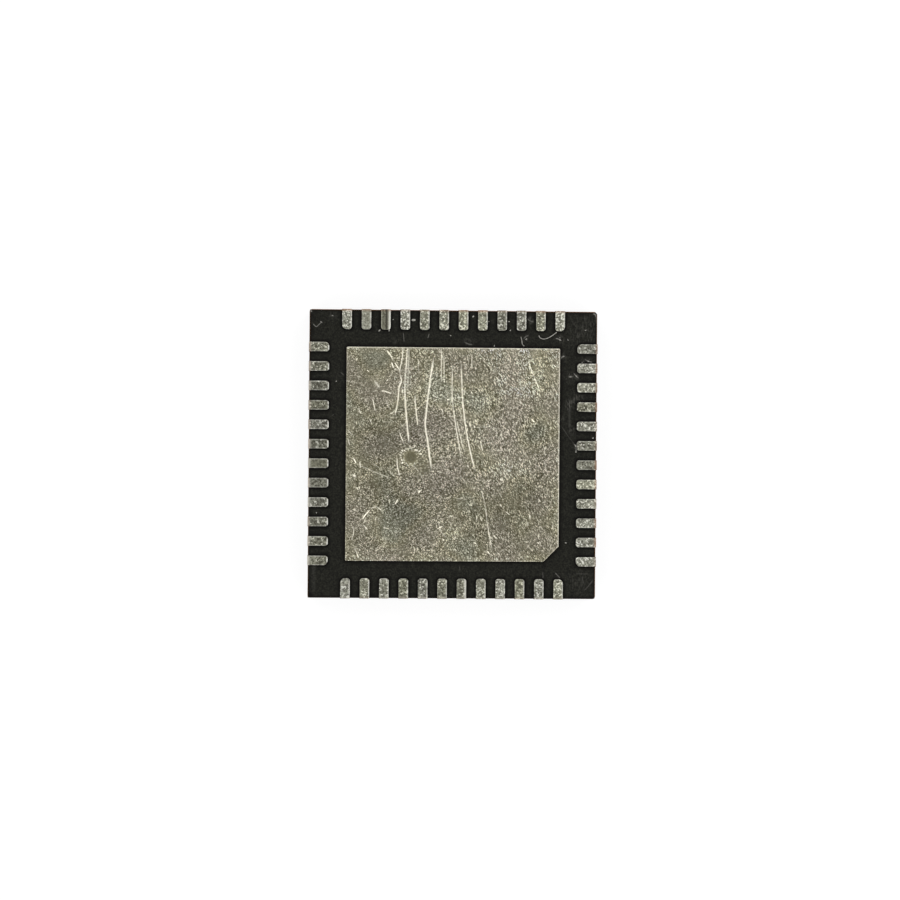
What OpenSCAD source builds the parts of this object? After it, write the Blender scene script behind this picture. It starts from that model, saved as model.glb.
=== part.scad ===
// Integrated circuit in a 48-lead quad flat no-lead package, lying on its marked face.
// Millimetres. The soldering side faces +Z, and the origin is the centre of the marked face.

/* [Body] */
// Side of the square body, as sawn from the moulded strip
body_size = 5.94; // [5.2:0.01:6.65]
// Height from the marked face to the soldering faces
package_height = 0.90; // [0.7:0.01:1.0]
// How far the soldering faces stand proud of the moulding
standoff = 0.02; // [0.005:0.005:0.05]
// Diameter of the round pin 1 recess in the marked face
index_dot_d = 0.50; // [0.2:0.05:0.8]
// Depth of the pin 1 recess
index_dot_depth = 0.02; // [0.01:0.005:0.05]
// Distance from the centre of the pin 1 recess to the two nearest sides
index_dot_inset = 0.75; // [0.5:0.05:1.5]

/* [Leads] */
// Distance between the centres of neighbouring leads
lead_pitch = 0.40; // [0.35:0.01:0.65]
// Width of a lead
lead_width = 0.20; // [0.15:0.01:0.25]
// Length of a lead's soldering face, from the side of the body
lead_length = 0.41; // [0.30:0.01:0.50]
// Reach of the half-etched tongue past the soldering face, held in the moulding
lead_tongue = 0.10; // [0.04:0.01:0.15]
// Least distance from a row's last lead to the line of the next row's tongues
row_end_gap = 0.12; // [0.05:0.01:0.3]
// Radius of the inner corners of a lead
lead_end_radius = 0.06; // [0.02:0.01:0.10]
// Radius of the inner corner that faces a corner of the package
corner_lead_radius = 0.10; // [0.02:0.01:0.12]
// Burr that the saw leaves at the outer end of a lead
saw_burr = 0.01; // [0.005:0.005:0.03]

/* [Lead frame] */
// Thickness of the copper sheet
sheet_t = 0.20; // [0.15:0.01:0.25]
// Thickness that half etching leaves
half_etch_t = 0.10; // [0.06:0.01:0.12]
// Distance from the exposed pad to the soldering faces of the leads
pad_to_lead = 0.355; // [0.25:0.005:0.6]
// Leg of the chamfer at the pin 1 corner of the pad
pad_chamfer = 0.32; // [0.1:0.01:0.5]
// Radius of the other corners of the pad
pad_corner_radius = 0.03; // [0.02:0.01:0.10]
// Width of the half-etched lip around the pad, held in the moulding
pad_lip = 0.08; // [0.04:0.01:0.12]
// Width of the half-etched bars that tied the pad to the strip
tie_bar_w = 0.10; // [0.08:0.01:0.16]
// Diameter of the round contact mark pressed into the pad
contact_mark_d = 0.27; // [0.1:0.01:0.5]
// Depth of the contact mark
contact_mark_depth = 0.015; // [0.005:0.005:0.05]
// Place of the contact mark from the centre of the pad, along X
contact_mark_x = -0.87; // [-1.5:0.01:1.5]
// Place of the contact mark from the centre of the pad, along Y
contact_mark_y = -0.06; // [-1.5:0.01:1.5]

/* [Die and wires] */
// Side of the square die
die_size = 3.20; // [2.0:0.1:3.8]
// Thickness of the die
die_t = 0.25; // [0.1:0.01:0.3]
// Thickness of the glue under the die
die_attach_t = 0.025; // [0.01:0.005:0.05]
// How far the glue runs out past the die
die_attach_margin = 0.10; // [0.04:0.01:0.2]
// Distance from the edge of the die to the row of wires on it
bond_row_inset = 0.07; // [0.05:0.01:0.2]
// Distance from the end of the row of wires to the next side of the die
bond_row_end = 0.30; // [0.2:0.01:0.6]
// Distance from the tip of a lead's tongue to its wire
stitch_setback = 0.08; // [0.05:0.01:0.2]
// Diameter of a bond wire
wire_d = 0.025; // [0.018:0.001:0.033]
// Rise of a wire's arc above the straight line between its ends
wire_rise = 0.20; // [0.14:0.01:0.3]
// Diameter of the pressed ball that ends a wire on the die
ball_d = 0.064; // [0.05:0.002:0.08]
// Thickness of that ball
ball_t = 0.026; // [0.015:0.001:0.04]
// Diameter of the stitch that ends a wire on its lead
stitch_d = 0.070; // [0.05:0.002:0.1]
// Thickness of that stitch
stitch_t = 0.020; // [0.01:0.001:0.03]

/* [Hidden] */
// Heights of the faces, from the marked face up
mould_z = package_height - standoff;
sheet_z = package_height - sheet_t;
die_attach_z = sheet_z - die_attach_t;
die_z = die_attach_z - die_t;

// Half sizes and counts
body_half = body_size / 2;
pad_half = body_half - lead_length - pad_to_lead;
// As many leads to a side as fit between the tongues of the two rows beside it
row_room = body_half - lead_length - lead_tongue - row_end_gap - lead_width / 2;
leads_per_side = floor(2 * row_room / lead_pitch) + 1;
lead_count = 4 * leads_per_side;
row_half = (leads_per_side - 1) / 2 * lead_pitch;
bond_row_half = die_size / 2 - bond_row_end;
bond_pitch = 2 * bond_row_half / (leads_per_side - 1);

// Cutters run this far past the faces that they open
over = 0.5;
// Straight steps in a rounded corner
corner_steps = 6;
// Growth of a chamfer's leg for each unit that its square grows outwards
chamfer_growth = 2 - sqrt(2);
$fn = 48;

// Colours as the package shows them
epoxy_black = [0.14, 0.14, 0.125];
tin_grey = [0.53, 0.51, 0.45];
silicon_grey = [0.35, 0.37, 0.42];
glue_silver = [0.66, 0.66, 0.64];
gold = [0.83, 0.67, 0.30];

function lead_name(n) = str("lead_", n < 10 ? "0" : "", n);

// Points of a round corner about a centre, from one angle to another
function corner(centre, r, from, to) = [
    for (s = [0:corner_steps])
        let (a = from + (to - from) * s / corner_steps)
        centre + r * [cos(a), sin(a)]
];

// Corner at one turn of a square whose sides lie half from its centre
function square_corner(half, r, turn) = corner(
    (half - r) * [cos(turn) - sin(turn), sin(turn) + cos(turn)], r, turn, turn + 90
);

// Leads count from pin 1, clockwise as seen from the soldering side
function lead_side(n) = floor((n - 1) / leads_per_side);
function lead_index(n) = (n - 1) % leads_per_side;
// Place of lead n along its side, and of its wire along the die's side
function lead_x(n) = row_half - lead_index(n) * lead_pitch;
function bond_x(n) = bond_row_half - lead_index(n) * bond_pitch;

// A rounded corner is no larger than half the lead
function lead_radius(faces_corner) =
    min(faces_corner ? corner_lead_radius : lead_end_radius, lead_width / 2);

// Outline of lead n, with the side of the body at y = 0 and the pad towards +Y
function lead_outline(n, reach) =
    let (
        half = lead_width / 2,
        first = lead_radius(lead_index(n) == 0),
        last = lead_radius(lead_index(n) == leads_per_side - 1)
    )
    concat(
        [[-half, -saw_burr], [half, -saw_burr]],
        corner([half - first, reach - first], first, 0, 90),
        corner([-half + last, reach - last], last, 90, 180)
    );

// Square outline with its pin 1 corner chamfered and the others rounded
function pad_outline(half, chamfer, r) = concat(
    [[half - chamfer, -half], [half, chamfer - half]],
    [for (turn = [0:90:180]) each square_corner(half, r, turn)]
);

// Block centred on the Z axis between two heights
module slab(side, bottom, top) {
    translate([-side / 2, -side / 2, bottom]) cube([side, side, top - bottom]);
}

// Turns what is made for the first side of the body round to the side of lead n
module on_side(n) {
    rotate([0, 0, -90 * lead_side(n)]) children();
}

// One lead: the soldering face at full thickness, and the half-etched tongue
module lead(n) {
    color(tin_grey)
        on_side(n) translate([lead_x(n), -body_half, sheet_z]) {
            linear_extrude(sheet_t) polygon(lead_outline(n, lead_length));
            linear_extrude(half_etch_t) polygon(lead_outline(n, lead_length + lead_tongue));
        }
}

// Half-etched bars from the pad to the sawn corners of the body
module tie_bars() {
    intersection() {
        for (turn = [45:90:315])
            rotate([0, 0, turn])
                translate([pad_half, -tie_bar_w / 2, sheet_z])
                    cube([body_size, tie_bar_w, half_etch_t]);
        slab(body_size, 0, package_height);
    }
}

// Exposed pad that carries the die, with its lip, its tie bars and the contact mark
module die_paddle() {
    lip_chamfer = pad_chamfer + pad_lip * chamfer_growth;
    color(tin_grey)
        difference() {
            union() {
                translate([0, 0, sheet_z]) {
                    linear_extrude(sheet_t)
                        polygon(pad_outline(pad_half, pad_chamfer, pad_corner_radius));
                    linear_extrude(half_etch_t)
                        polygon(pad_outline(pad_half + pad_lip, lip_chamfer, pad_corner_radius + pad_lip));
                }
                tie_bars();
            }
            translate([contact_mark_x, contact_mark_y, package_height - contact_mark_depth])
                cylinder(d = contact_mark_d, h = contact_mark_depth + over);
        }
}

module die_attach() {
    color(glue_silver) slab(die_size + 2 * die_attach_margin, die_attach_z, sheet_z);
}

module die() {
    color(silicon_grey) slab(die_size, die_z, die_attach_z);
}

// Wire of lead n: an arc in the upright plane through its ends, with its ball and its stitch.
// The ends stop half a wire short of the faces that they are pressed on.
module wire(n) {
    start = [bond_x(n), bond_row_inset - die_size / 2, die_z - wire_d / 2];
    end = [lead_x(n), lead_length + lead_tongue - stitch_setback - body_half, sheet_z - wire_d / 2];
    run = norm([end.x - start.x, end.y - start.y]);
    climb = end.z - start.z;
    chord = norm(end - start);
    radius = (chord * chord / 4 + wire_rise * wire_rise) / (2 * wire_rise);
    sweep = 4 * atan(2 * wire_rise / chord);
    slope = atan2(climb, run);
    heading = atan2(end.y - start.y, end.x - start.x);
    // Centre of the arc, on the side of the chord that faces the pad
    drop = radius - wire_rise;
    centre_run = run / 2 - drop * climb / chord;
    centre_z = (start.z + end.z) / 2 + drop * run / chord;
    on_side(n) {
        translate([start.x, start.y, centre_z]) rotate([0, 0, heading]) translate([centre_run, 0, 0])
            rotate([90, 0, 0]) rotate([0, 0, slope - 90 - sweep / 2])
                rotate_extrude(angle = sweep) translate([radius, 0]) circle(d = wire_d);
        translate([start.x, start.y, die_z - ball_t]) cylinder(d = ball_d, h = ball_t);
        translate([end.x, end.y, sheet_z - stitch_t]) cylinder(d = stitch_d, h = stitch_t);
    }
}

module bond_wires() {
    color(gold) for (n = [1:lead_count]) wire(n);
}

// Moulding around everything that it holds
module mould_body() {
    index_at = body_half - index_dot_inset;
    color(epoxy_black)
        difference() {
            slab(body_size, 0, mould_z);
            for (n = [1:lead_count]) lead(n);
            die_paddle();
            die_attach();
            die();
            bond_wires();
            translate([index_at, -index_at, index_dot_depth - over])
                cylinder(d = index_dot_d, h = over);
        }
}

mould_body();
die_paddle();
die_attach();
die();
bond_wires();
for (n = [1:lead_count])
    lead(n);
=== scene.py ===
"""Finish of an integrated circuit in a 48-lead quad flat no-lead package, lying with its soldering side up.

A used chip: matte tin on the pad and the leads, grained, stained and scratched, in black moulding epoxy
that the saw has cut on four sides.
"""
import math

import bmesh
import bpy
import numpy as np
from mathutils import Euler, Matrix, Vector, noise
from mathutils.geometry import delaunay_2d_cdt
from mathutils.kdtree import KDTree


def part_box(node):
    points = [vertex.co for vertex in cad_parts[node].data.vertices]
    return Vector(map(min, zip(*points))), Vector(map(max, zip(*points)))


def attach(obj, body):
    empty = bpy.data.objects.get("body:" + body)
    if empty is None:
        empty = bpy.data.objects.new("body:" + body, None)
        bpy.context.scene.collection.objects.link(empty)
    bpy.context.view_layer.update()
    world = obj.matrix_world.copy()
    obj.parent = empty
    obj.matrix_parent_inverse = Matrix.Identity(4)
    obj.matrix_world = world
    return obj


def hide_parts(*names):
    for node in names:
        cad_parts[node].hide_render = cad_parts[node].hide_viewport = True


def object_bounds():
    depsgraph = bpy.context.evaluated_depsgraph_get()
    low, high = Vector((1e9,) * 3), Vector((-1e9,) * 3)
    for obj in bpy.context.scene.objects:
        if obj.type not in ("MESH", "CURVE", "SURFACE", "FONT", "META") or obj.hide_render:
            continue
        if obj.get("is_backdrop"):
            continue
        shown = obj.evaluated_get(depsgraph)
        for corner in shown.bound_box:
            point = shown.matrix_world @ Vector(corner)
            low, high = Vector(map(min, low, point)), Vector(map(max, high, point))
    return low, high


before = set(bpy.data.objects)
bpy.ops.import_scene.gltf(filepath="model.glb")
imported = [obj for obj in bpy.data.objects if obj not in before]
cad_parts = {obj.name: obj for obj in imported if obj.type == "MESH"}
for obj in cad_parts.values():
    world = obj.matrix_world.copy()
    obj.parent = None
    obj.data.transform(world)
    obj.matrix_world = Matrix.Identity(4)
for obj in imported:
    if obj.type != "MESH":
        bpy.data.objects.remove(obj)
CAD_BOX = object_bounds()

bl_info = {
    "name": "Quad Flat No-Lead Chip",
    "version": (1, 0, 0),
    "blender": (4, 5, 0),
    "location": "View3D > Sidebar > Chip",
    "description": "Dresses the solids of a quad flat no-lead chip with worn tin, epoxy and dust",
    "category": "Object",
}

MM = 0.001
MICRON = 0.001 * MM
# Lengths that differ by less, in metres, are the same
SAME = 1e-7
BODY = "root"
LEADS = sorted(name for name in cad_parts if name.startswith("lead_"))

# Heights and half sizes of the solids
PAD_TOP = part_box("die_paddle")[1].z
SHEET_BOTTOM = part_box("die_paddle")[0].z
MOULD_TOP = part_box("mould_body")[1].z
BODY_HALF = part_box("mould_body")[1].x
PAD_POINTS = [vert.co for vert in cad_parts["die_paddle"].data.vertices]
PAD_HALF = max(point.x for point in PAD_POINTS if point.z > PAD_TOP - SAME)
# Wear of the body's corners, seen from above: how far each is drawn in along X and Y, in millimetres
WORN_CORNERS = {(-1, 1): 0.010, (1, 1): 0.022, (1, -1): 0.012, (-1, -1): 0.004}
# Reach of the rim, rubbed and with a painted highlight, of the bright burr and of the bare copper on a
# lead's face, in millimetres
LEAD_RIM_REACH = 0.016
LEAD_BURR_REACH = 0.070
LEAD_BARE_REACH = 0.06
# Strength of a dished lead's second channel, as a share of the first
SECOND_CHANNEL = 0.6
# How much of a lead's rim, rubbed tin and painted highlight, the grain leaves bright: swing and start
RUB_SWING, RUB_START = 2.4, -0.6
# Darkening down a lead's sides, more from each layer to the one below
SIDE_DARKENING = 0.45
# Points of a lead that are this close, in metres, are one
LEAD_MERGE = 1e-8

# Marks of wear, in millimetres from the centre of the package
# Scratches: width, strength and the points of each line
PAD_SCRATCHES = (
    (0.026, 0.70, ((-1.39, 2.15), (-1.31, 2.05), (-1.23, 1.91))),
    (0.024, 0.60, ((-1.22, 1.90), (-1.14, 1.77), (-1.09, 1.70))),
    (0.030, 0.80, ((-1.04, 2.25), (-1.06, 1.96), (-1.10, 1.78), (-1.11, 1.63))),
    (0.038, 1.15, ((-1.11, 1.66), (-1.07, 1.51), (-1.12, 1.37), (-1.14, 1.11), (-1.20, 0.78))),
    (0.034, 0.75, ((-0.95, 2.23), (-0.97, 1.95), (-0.98, 1.70))),
    (0.044, 1.25, ((-0.98, 1.80), (-1.00, 1.40), (-0.98, 0.96), (-0.93, 0.45), (-0.90, 0.20))),
    (0.050, 0.45, ((-0.92, 2.22), (-0.93, 1.75), (-0.94, 1.30))),
    (0.036, 1.05, ((-0.79, 1.23), (-0.78, 1.04), (-0.75, 0.76), (-0.72, 0.58))),
    (0.024, 0.55, ((-0.72, 1.97), (-0.72, 1.68))),
    (
        0.046, 1.30,
        ((-0.40, 2.04), (-0.47, 1.60), (-0.54, 1.00), (-0.57, 0.59), (-0.52, 0.26), (-0.43, -0.38)),
    ),
    (0.024, 0.70, ((-0.25, 2.18), (-0.25, 1.48))),
    (0.024, 0.65, ((-0.20, 2.05), (-0.19, 1.60))),
    (0.030, 0.75, ((-0.02, 1.87), (-0.02, 1.20), (0.05, 0.64), (0.18, -0.10))),
    (0.038, 1.10, ((0.16, 1.92), (0.19, 1.20), (0.27, 0.52), (0.39, -0.06), (0.48, -0.37))),
    (0.024, 0.65, ((0.38, 2.08), (0.38, 1.76))),
    (0.030, 0.95, ((1.54, 1.95), (1.65, 1.66), (1.79, 1.33))),
    (0.024, 0.42, ((-1.92, -0.24), (-1.72, -0.32), (-1.54, -0.40), (-1.26, -0.50))),
    (0.030, 1.00, ((-1.15, -0.08), (-1.14, -0.25), (-1.09, -0.46))),
    (0.030, 0.45, ((-0.82, -0.22), (-0.69, -0.37))),
    (0.032, 1.00, ((-1.19, -1.05), (-1.12, -0.92))),
    (0.028, 0.60, ((-1.86, -1.36), (-1.78, -1.24), (-1.69, -1.14))),
    (0.026, 0.55, ((-1.69, -1.13), (-1.57, -1.09), (-1.45, -1.17))),
    (0.028, 0.50, ((-2.05, -1.46), (-2.03, -1.62), (-2.08, -1.79))),
    (0.030, 0.60, ((-1.85, -1.45), (-1.74, -1.56))),
    (0.030, 0.50, ((-2.01, -1.92), (-1.96, -2.05), (-1.92, -2.16))),
    (0.026, 0.32, ((-0.68, -0.38), (-0.62, -0.51), (-0.57, -0.70))),
    (0.026, 0.50, ((0.57, -0.64), (0.67, -1.02), (0.73, -1.45), (0.84, -2.03))),
    (0.028, 0.80, ((-1.66, 1.14), (-1.63, 1.00), (-1.60, 0.87))),
    (0.024, 0.60, ((0.07, 0.72), (0.22, 0.10))),
    (0.028, 0.80, ((0.56, 0.30), (0.62, 0.07))),
    (0.036, 0.80, ((-1.28, 1.90), (-1.23, 1.76))),
    (0.030, 0.75, ((-1.49, 1.30), (-1.40, 1.29), (-1.26, 1.24))),
    (0.070, 0.75, ((-1.62, 1.50), (-1.52, 1.36))),
    (0.036, 0.50, ((-1.39, 1.12), (-1.31, 0.93))),
    (0.024, 0.40, ((-1.31, 0.81), (-1.19, 0.90))),
    (0.032, 0.50, ((-2.18, 0.51), (-2.07, 0.37))),
    (0.034, 0.60, ((-1.96, 0.97), (-1.90, 0.82))),
    (0.032, 0.50, ((-2.16, 0.30), (-2.12, 0.17))),
    (0.030, 0.75, ((-2.06, -0.08), (-1.98, -0.20))),
    (0.034, 0.95, ((-1.92, -0.15), (-1.90, -0.29))),
    (0.070, 1.20, ((-2.05, -0.42), (-2.00, -0.48))),
    (0.026, 0.45, ((-1.12, 0.50), (-1.07, 0.36), (-0.99, 0.17))),
    (0.024, 0.30, ((-1.65, -0.19), (-1.50, -0.29))),
    (0.024, 0.30, ((-1.35, -0.32), (-1.17, -0.48))),
    (0.032, 0.90, ((1.36, -0.06), (1.42, -0.14))),
    (0.030, 0.45, ((1.90, -0.10), (1.93, -0.32))),
    (0.030, 0.45, ((1.88, 0.19), (1.91, -0.02))),
    (0.030, 0.40, ((0.08, -0.92), (0.24, -0.89))),
    (0.026, 0.38, ((-0.29, -1.36), (-0.21, -1.62), (-0.10, -1.72))),
)
MOULD_SCRATCHES = (
    (0.024, 0.70, ((-2.91, 2.68), (-2.84, 2.61), (-2.80, 2.63), (-2.72, 2.71))),
    (0.034, 0.90, ((-2.76, 2.73), (-2.70, 2.68))),
    (0.040, 0.90, ((-2.955, 2.955), (-2.92, 2.90))),
    (0.036, 1.00, ((2.88, 2.935), (2.93, 2.91), (2.945, 2.86))),
    (0.022, 0.45, ((2.945, 2.88), (2.95, 2.74))),
    (0.030, 0.35, ((-2.53, 2.85), (-2.45, 2.82))),
    (0.024, 0.40, ((-1.04, 2.51), (-1.02, 2.30))),
    (0.024, 0.40, ((-0.50, 2.50), (-0.54, 2.38))),
    (0.028, 0.30, ((-2.33, 1.68), (-2.25, 1.61))),
    (0.024, 0.25, ((-2.50, 0.77), (-2.45, 0.82))),
    (0.026, 0.45, ((2.13, -2.42), (2.25, -2.55))),
    (0.024, 0.35, ((1.88, -2.40), (1.89, -2.56))),
    (0.022, 0.25, ((0.16, -2.29), (0.17, -2.42))),
    (0.026, 0.20, ((2.69, -2.50), (2.73, -2.66))),
    (0.026, 0.22, ((2.74, -2.80), (2.87, -2.65), (2.92, -2.57))),
    (0.024, 0.14, ((2.55, -2.45), (2.84, -2.45))),
    (0.026, 0.60, ((1.44, 2.39), (1.49, 2.45), (1.56, 2.465))),
    (0.022, 0.50, ((1.47, 2.43), (1.52, 2.40))),
    (0.030, 0.75, ((2.10, 2.42), (2.17, 2.40), (2.24, 2.365))),
    (0.022, 0.60, ((2.17, 2.445), (2.22, 2.415))),
    (0.026, 0.60, ((2.35, 2.42), (2.37, 2.36))),
    (0.030, 0.40, ((1.51, 2.82), (1.58, 2.77), (1.65, 2.75))),
    (0.034, 0.55, ((2.21, 2.00), (2.30, 2.07))),
    (0.026, 0.50, ((2.71, 1.99), (2.79, 1.95), (2.88, 1.93))),
    (0.022, 0.40, ((2.63, 1.91), (2.70, 1.95))),
    (0.026, 0.55, ((2.39, 1.62), (2.48, 1.63))),
    (0.026, 0.55, ((2.48, 1.71), (2.54, 1.64), (2.60, 1.59))),
    (0.022, 0.50, ((2.42, 1.66), (2.46, 1.60))),
    (0.070, 0.09, ((2.41, 1.00), (2.41, 0.76), (2.42, 0.56))),
    (0.022, 0.15, ((2.24, 0.61), (2.39, 0.39), (2.54, 0.20))),
    (0.030, 0.75, ((2.50, 0.23), (2.54, 0.20), (2.555, 0.13), (2.54, 0.05))),
    (0.024, 0.75, ((2.54, 0.18), (2.59, 0.14))),
    (0.030, 0.40, ((0.22, 2.32), (0.31, 2.28), (0.40, 2.27))),
    (0.120, 0.05, ((-2.85, -2.25), (-2.84, -2.85))),
)
# Lighter and darker patches of the pad: place, radius and gain
PAD_PATCHES = (
    ((-1.04, 1.41), 0.30, 0.10), ((-0.01, 1.30), 0.35, 0.10), ((0.72, 0.40), 0.30, 0.05),
    ((1.25, -0.27), 0.35, 0.14), ((0.02, -1.52), 0.30, 0.12), ((-1.69, -1.32), 0.30, 0.12),
    ((-1.37, -1.81), 0.25, 0.14), ((1.80, 1.95), 0.40, 0.15), ((1.39, 1.33), 0.28, 0.18),
    ((-1.55, 1.54), 0.16, 0.20), ((-1.44, 0.28), 0.35, -0.14), ((-0.95, -1.15), 0.50, -0.20),
    ((-1.40, -0.70), 0.35, -0.12), ((-0.09, -0.69), 0.35, -0.14), ((1.59, -0.73), 0.35, -0.14),
    ((1.05, -1.20), 0.35, -0.14), ((0.48, 1.63), 0.30, -0.10), ((0.48, -1.46), 0.25, -0.12),
    ((1.71, 0.35), 0.30, -0.10), ((0.10, -2.10), 1.50, -0.05), ((-0.60, 0.55), 0.50, -0.16),
    ((-1.75, -1.50), 0.80, -0.07), ((-1.75, 0.10), 0.70, -0.05), ((0.90, 1.85), 0.60, 0.10),
)
# Where the pad's grain has painted glints (sparkles) or is dull: place, radius and amount
PAD_SPARKLE = (
    ((-0.45, 1.20), 0.80, 0.45), ((1.55, 1.75), 0.75, 0.60), ((0.50, 0.60), 0.90, 0.50),
    ((1.60, 0.10), 0.80, 0.35), ((-0.40, -0.40), 0.70, 0.30), ((-1.60, 1.50), 0.60, -0.25),
    ((0.00, -1.70), 1.20, 0.20),
)
# Grey smears on the moulding: place, radius and strength
MOULD_SMEARS = (
    ((2.43, 1.05), 0.09, 0.75), ((2.49, 0.52), 0.08, 0.60), ((2.58, 1.17), 0.09, 0.50),
    ((2.42, 1.62), 0.07, 0.45), ((2.54, 1.64), 0.06, 0.45), ((2.74, 1.94), 0.08, 0.50),
    ((2.26, 2.03), 0.06, 0.30), ((1.50, 2.42), 0.06, 0.35), ((2.20, 2.40), 0.08, 0.30),
    ((0.30, 2.29), 0.08, 0.30), ((-1.18, 2.33), 0.05, 0.35), ((-2.50, 2.83), 0.07, 0.30),
    ((1.60, 2.77), 0.08, 0.35), ((2.70, 2.55), 0.30, 0.25), ((2.60, -2.60), 0.25, 0.15),
    ((-2.36, 1.62), 0.06, 0.20), ((0.74, 2.75), 0.06, 0.30), ((2.25, 0.75), 0.10, 0.25),
)
# Specks of dust on the moulding: place, half length and turn in degrees
DUST_SPECKS = (
    ((-0.83, 2.765), 0.042, -5), ((-1.53, 2.54), 0.024, 40), ((-1.33, 2.55), 0.020, 80),
    ((-1.25, 2.77), 0.012, 0), ((-2.41, 1.49), 0.016, 20), ((0.40, 2.85), 0.020, 60),
    ((1.14, 2.75), 0.018, 10), ((1.17, 2.57), 0.016, 45), ((0.72, 2.75), 0.014, 30),
    ((-0.06, 2.45), 0.015, 15), ((0.84, 2.25), 0.014, 75), ((1.50, 2.39), 0.016, 50),
    ((2.20, 2.385), 0.022, -25), ((2.37, 2.38), 0.014, -60), ((2.73, 2.59), 0.016, 0),
    ((2.28, 2.04), 0.018, 40), ((2.42, 1.62), 0.018, 5), ((2.54, 1.64), 0.016, -50),
    ((2.35, -1.81), 0.018, -20), ((2.90, 0.36), 0.018, 30), ((-2.80, -1.22), 0.014, 70),
    ((2.79, 1.95), 0.018, -20), ((2.66, 1.92), 0.013, 35), ((-2.50, 2.84), 0.013, 0),
    ((2.545, 0.19), 0.022, -70), ((2.55, 0.07), 0.018, 80),
)
# Fibres on the moulding: radius and the points of each line
LINT_FIBRES = (
    (0.0075, ((1.76, 2.47), (1.79, 2.42), (1.85, 2.40), (1.92, 2.41), (2.02, 2.46), (2.13, 2.54))),
    (0.0065, ((1.39, 2.44), (1.41, 2.36), (1.42, 2.29), (1.46, 2.25))),
)


def linear(hex_colour):
    """Linear RGBA of an sRGB hex colour."""
    channels = [int(hex_colour[i:i + 2], 16) / 255 for i in (1, 3, 5)]
    return [c / 12.92 if c <= 0.04045 else ((c + 0.055) / 1.055) ** 2.4 for c in channels] + [1.0]


def colour(name, description, hex_colour):
    """Colour property with an sRGB hex default."""
    return bpy.props.FloatVectorProperty(
        name=name, description=description, subtype="COLOR", size=4, min=0, max=1,
        default=linear(hex_colour),
    )


def length(name, description, millimetres):
    """Length property with a default in millimetres."""
    return bpy.props.FloatProperty(
        name=name, description=description, unit="LENGTH", subtype="DISTANCE", precision=6, min=0,
        default=millimetres * MM,
    )


def share(name, description, default):
    """Property from 0 to 1."""
    return bpy.props.FloatProperty(
        name=name, description=description, subtype="FACTOR", min=0, max=1, default=default
    )


class ChipPadFinish(bpy.types.PropertyGroup):
    """Sizes and colours of the exposed pad's worn tin."""

    grain: length("Grain", "Spacing of the grains in the pad's tin", 0.021)
    grain_depth: length("Grain depth", "Depth of the dips between the grains", 0.0016)
    pit_depth: length("Pit depth", "Depth of the deepest pits", 0.0035)
    pit_share: share("Pit share", "Share of the grains that are pits", 0.07)
    rim_width: length("Rim width", "Width of the rounding at the pad's edge", 0.016)
    rim_drop: length("Rim drop", "Drop of the rounding at the pad's edge", 0.010)
    groove_depth: length("Groove depth", "Depth of the widest scratch", 0.011)
    mark_depth: length("Contact mark depth", "Depth of the round contact mark", 0.014)
    tin: colour("Tin", "Dull tin of the grains", "#878474")
    rubbed_tin: colour("Rubbed tin", "Tin of the grains that are rubbed", "#BCB7A5")
    # Bright tin also paints glints on the brightest crystals, and highlights in the scratches and on the
    # rim
    bright_tin: colour("Bright tin", "Fresh tin on grains and in scratches", "#FFFAE8")
    dark_tin: colour("Dark tin", "Dirt between the grains", "#4B4737")


class ChipLeadFinish(bpy.types.PropertyGroup):
    """Sizes and colours of the plated leads."""

    inner_radius: length("Inner radius", "Radius of a lead's inner corners", 0.06)
    corner_radius: length("Corner radius", "Radius of the inner corner that faces a package corner", 0.10)
    rim_width: length("Rim width", "Width of the rounding at a lead's edge", 0.014)
    rim_drop: length("Rim drop", "Drop of the rounding at a lead's edge", 0.010)
    grain: length("Grain", "Size of the grains in the leads' tin", 0.045)
    grain_depth: length("Grain depth", "Depth of the dips between the grains", 0.010)
    tin: colour("Tin", "Dull tin of the grains", "#A0A092")
    rubbed_tin: colour("Rubbed tin", "Tin of the grains that are rubbed", "#C2C2B3")
    # Bright tin also paints glints on the brightest crystals, and highlights on the rims
    bright_tin: colour("Bright tin", "Fresh tin on grains and rims", "#F8F7EC")
    dark_tin: colour("Dark tin", "Darkest of the grains", "#66645A")
    # The dirt colour also darkens a lead's sides towards the bottom
    dirt: colour("Dirt", "Dirt in the dished leads and down the sides", "#4C4A42")
    copper: colour("Copper", "Bare copper where the saw cut the leads", "#B98A6C")


class ChipMouldFinish(bpy.types.PropertyGroup):
    """Sizes and colours of the moulding."""

    spacing: length("Spacing", "Spacing of the points on the moulding's upper face", 0.06)
    rim_width: length("Rim width", "Width of the rounding at the sawn edge", 0.018)
    rim_drop: length("Rim drop", "Drop of the rounding at the sawn edge", 0.012)
    groove_depth: length("Groove depth", "Depth of the widest scratch", 0.004)
    epoxy: colour("Epoxy", "Black moulding epoxy", "#1E1E19")
    # Painted shadow: the dark line where the epoxy meets the standing metal
    seam: colour("Seam", "Dark line where the epoxy meets the metal", "#080705")
    sawn: colour("Sawn edge", "Copper smeared on the sawn edge", "#96683F")
    smear: colour("Smear", "Grey dirt rubbed on the epoxy", "#6E6C66")


class ChipStageLight(bpy.types.PropertyGroup):
    """Levels of the studio light."""

    zenith: share("Zenith", "Brightness of the sky straight above", 0.32)
    ring: bpy.props.FloatProperty(
        name="Ring", description="Brightness of the sky half way up", default=1.00
    )
    lamp: bpy.props.FloatProperty(
        name="Lamp power", description="Power of each soft lamp", unit="POWER", default=0.008, precision=4
    )


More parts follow.
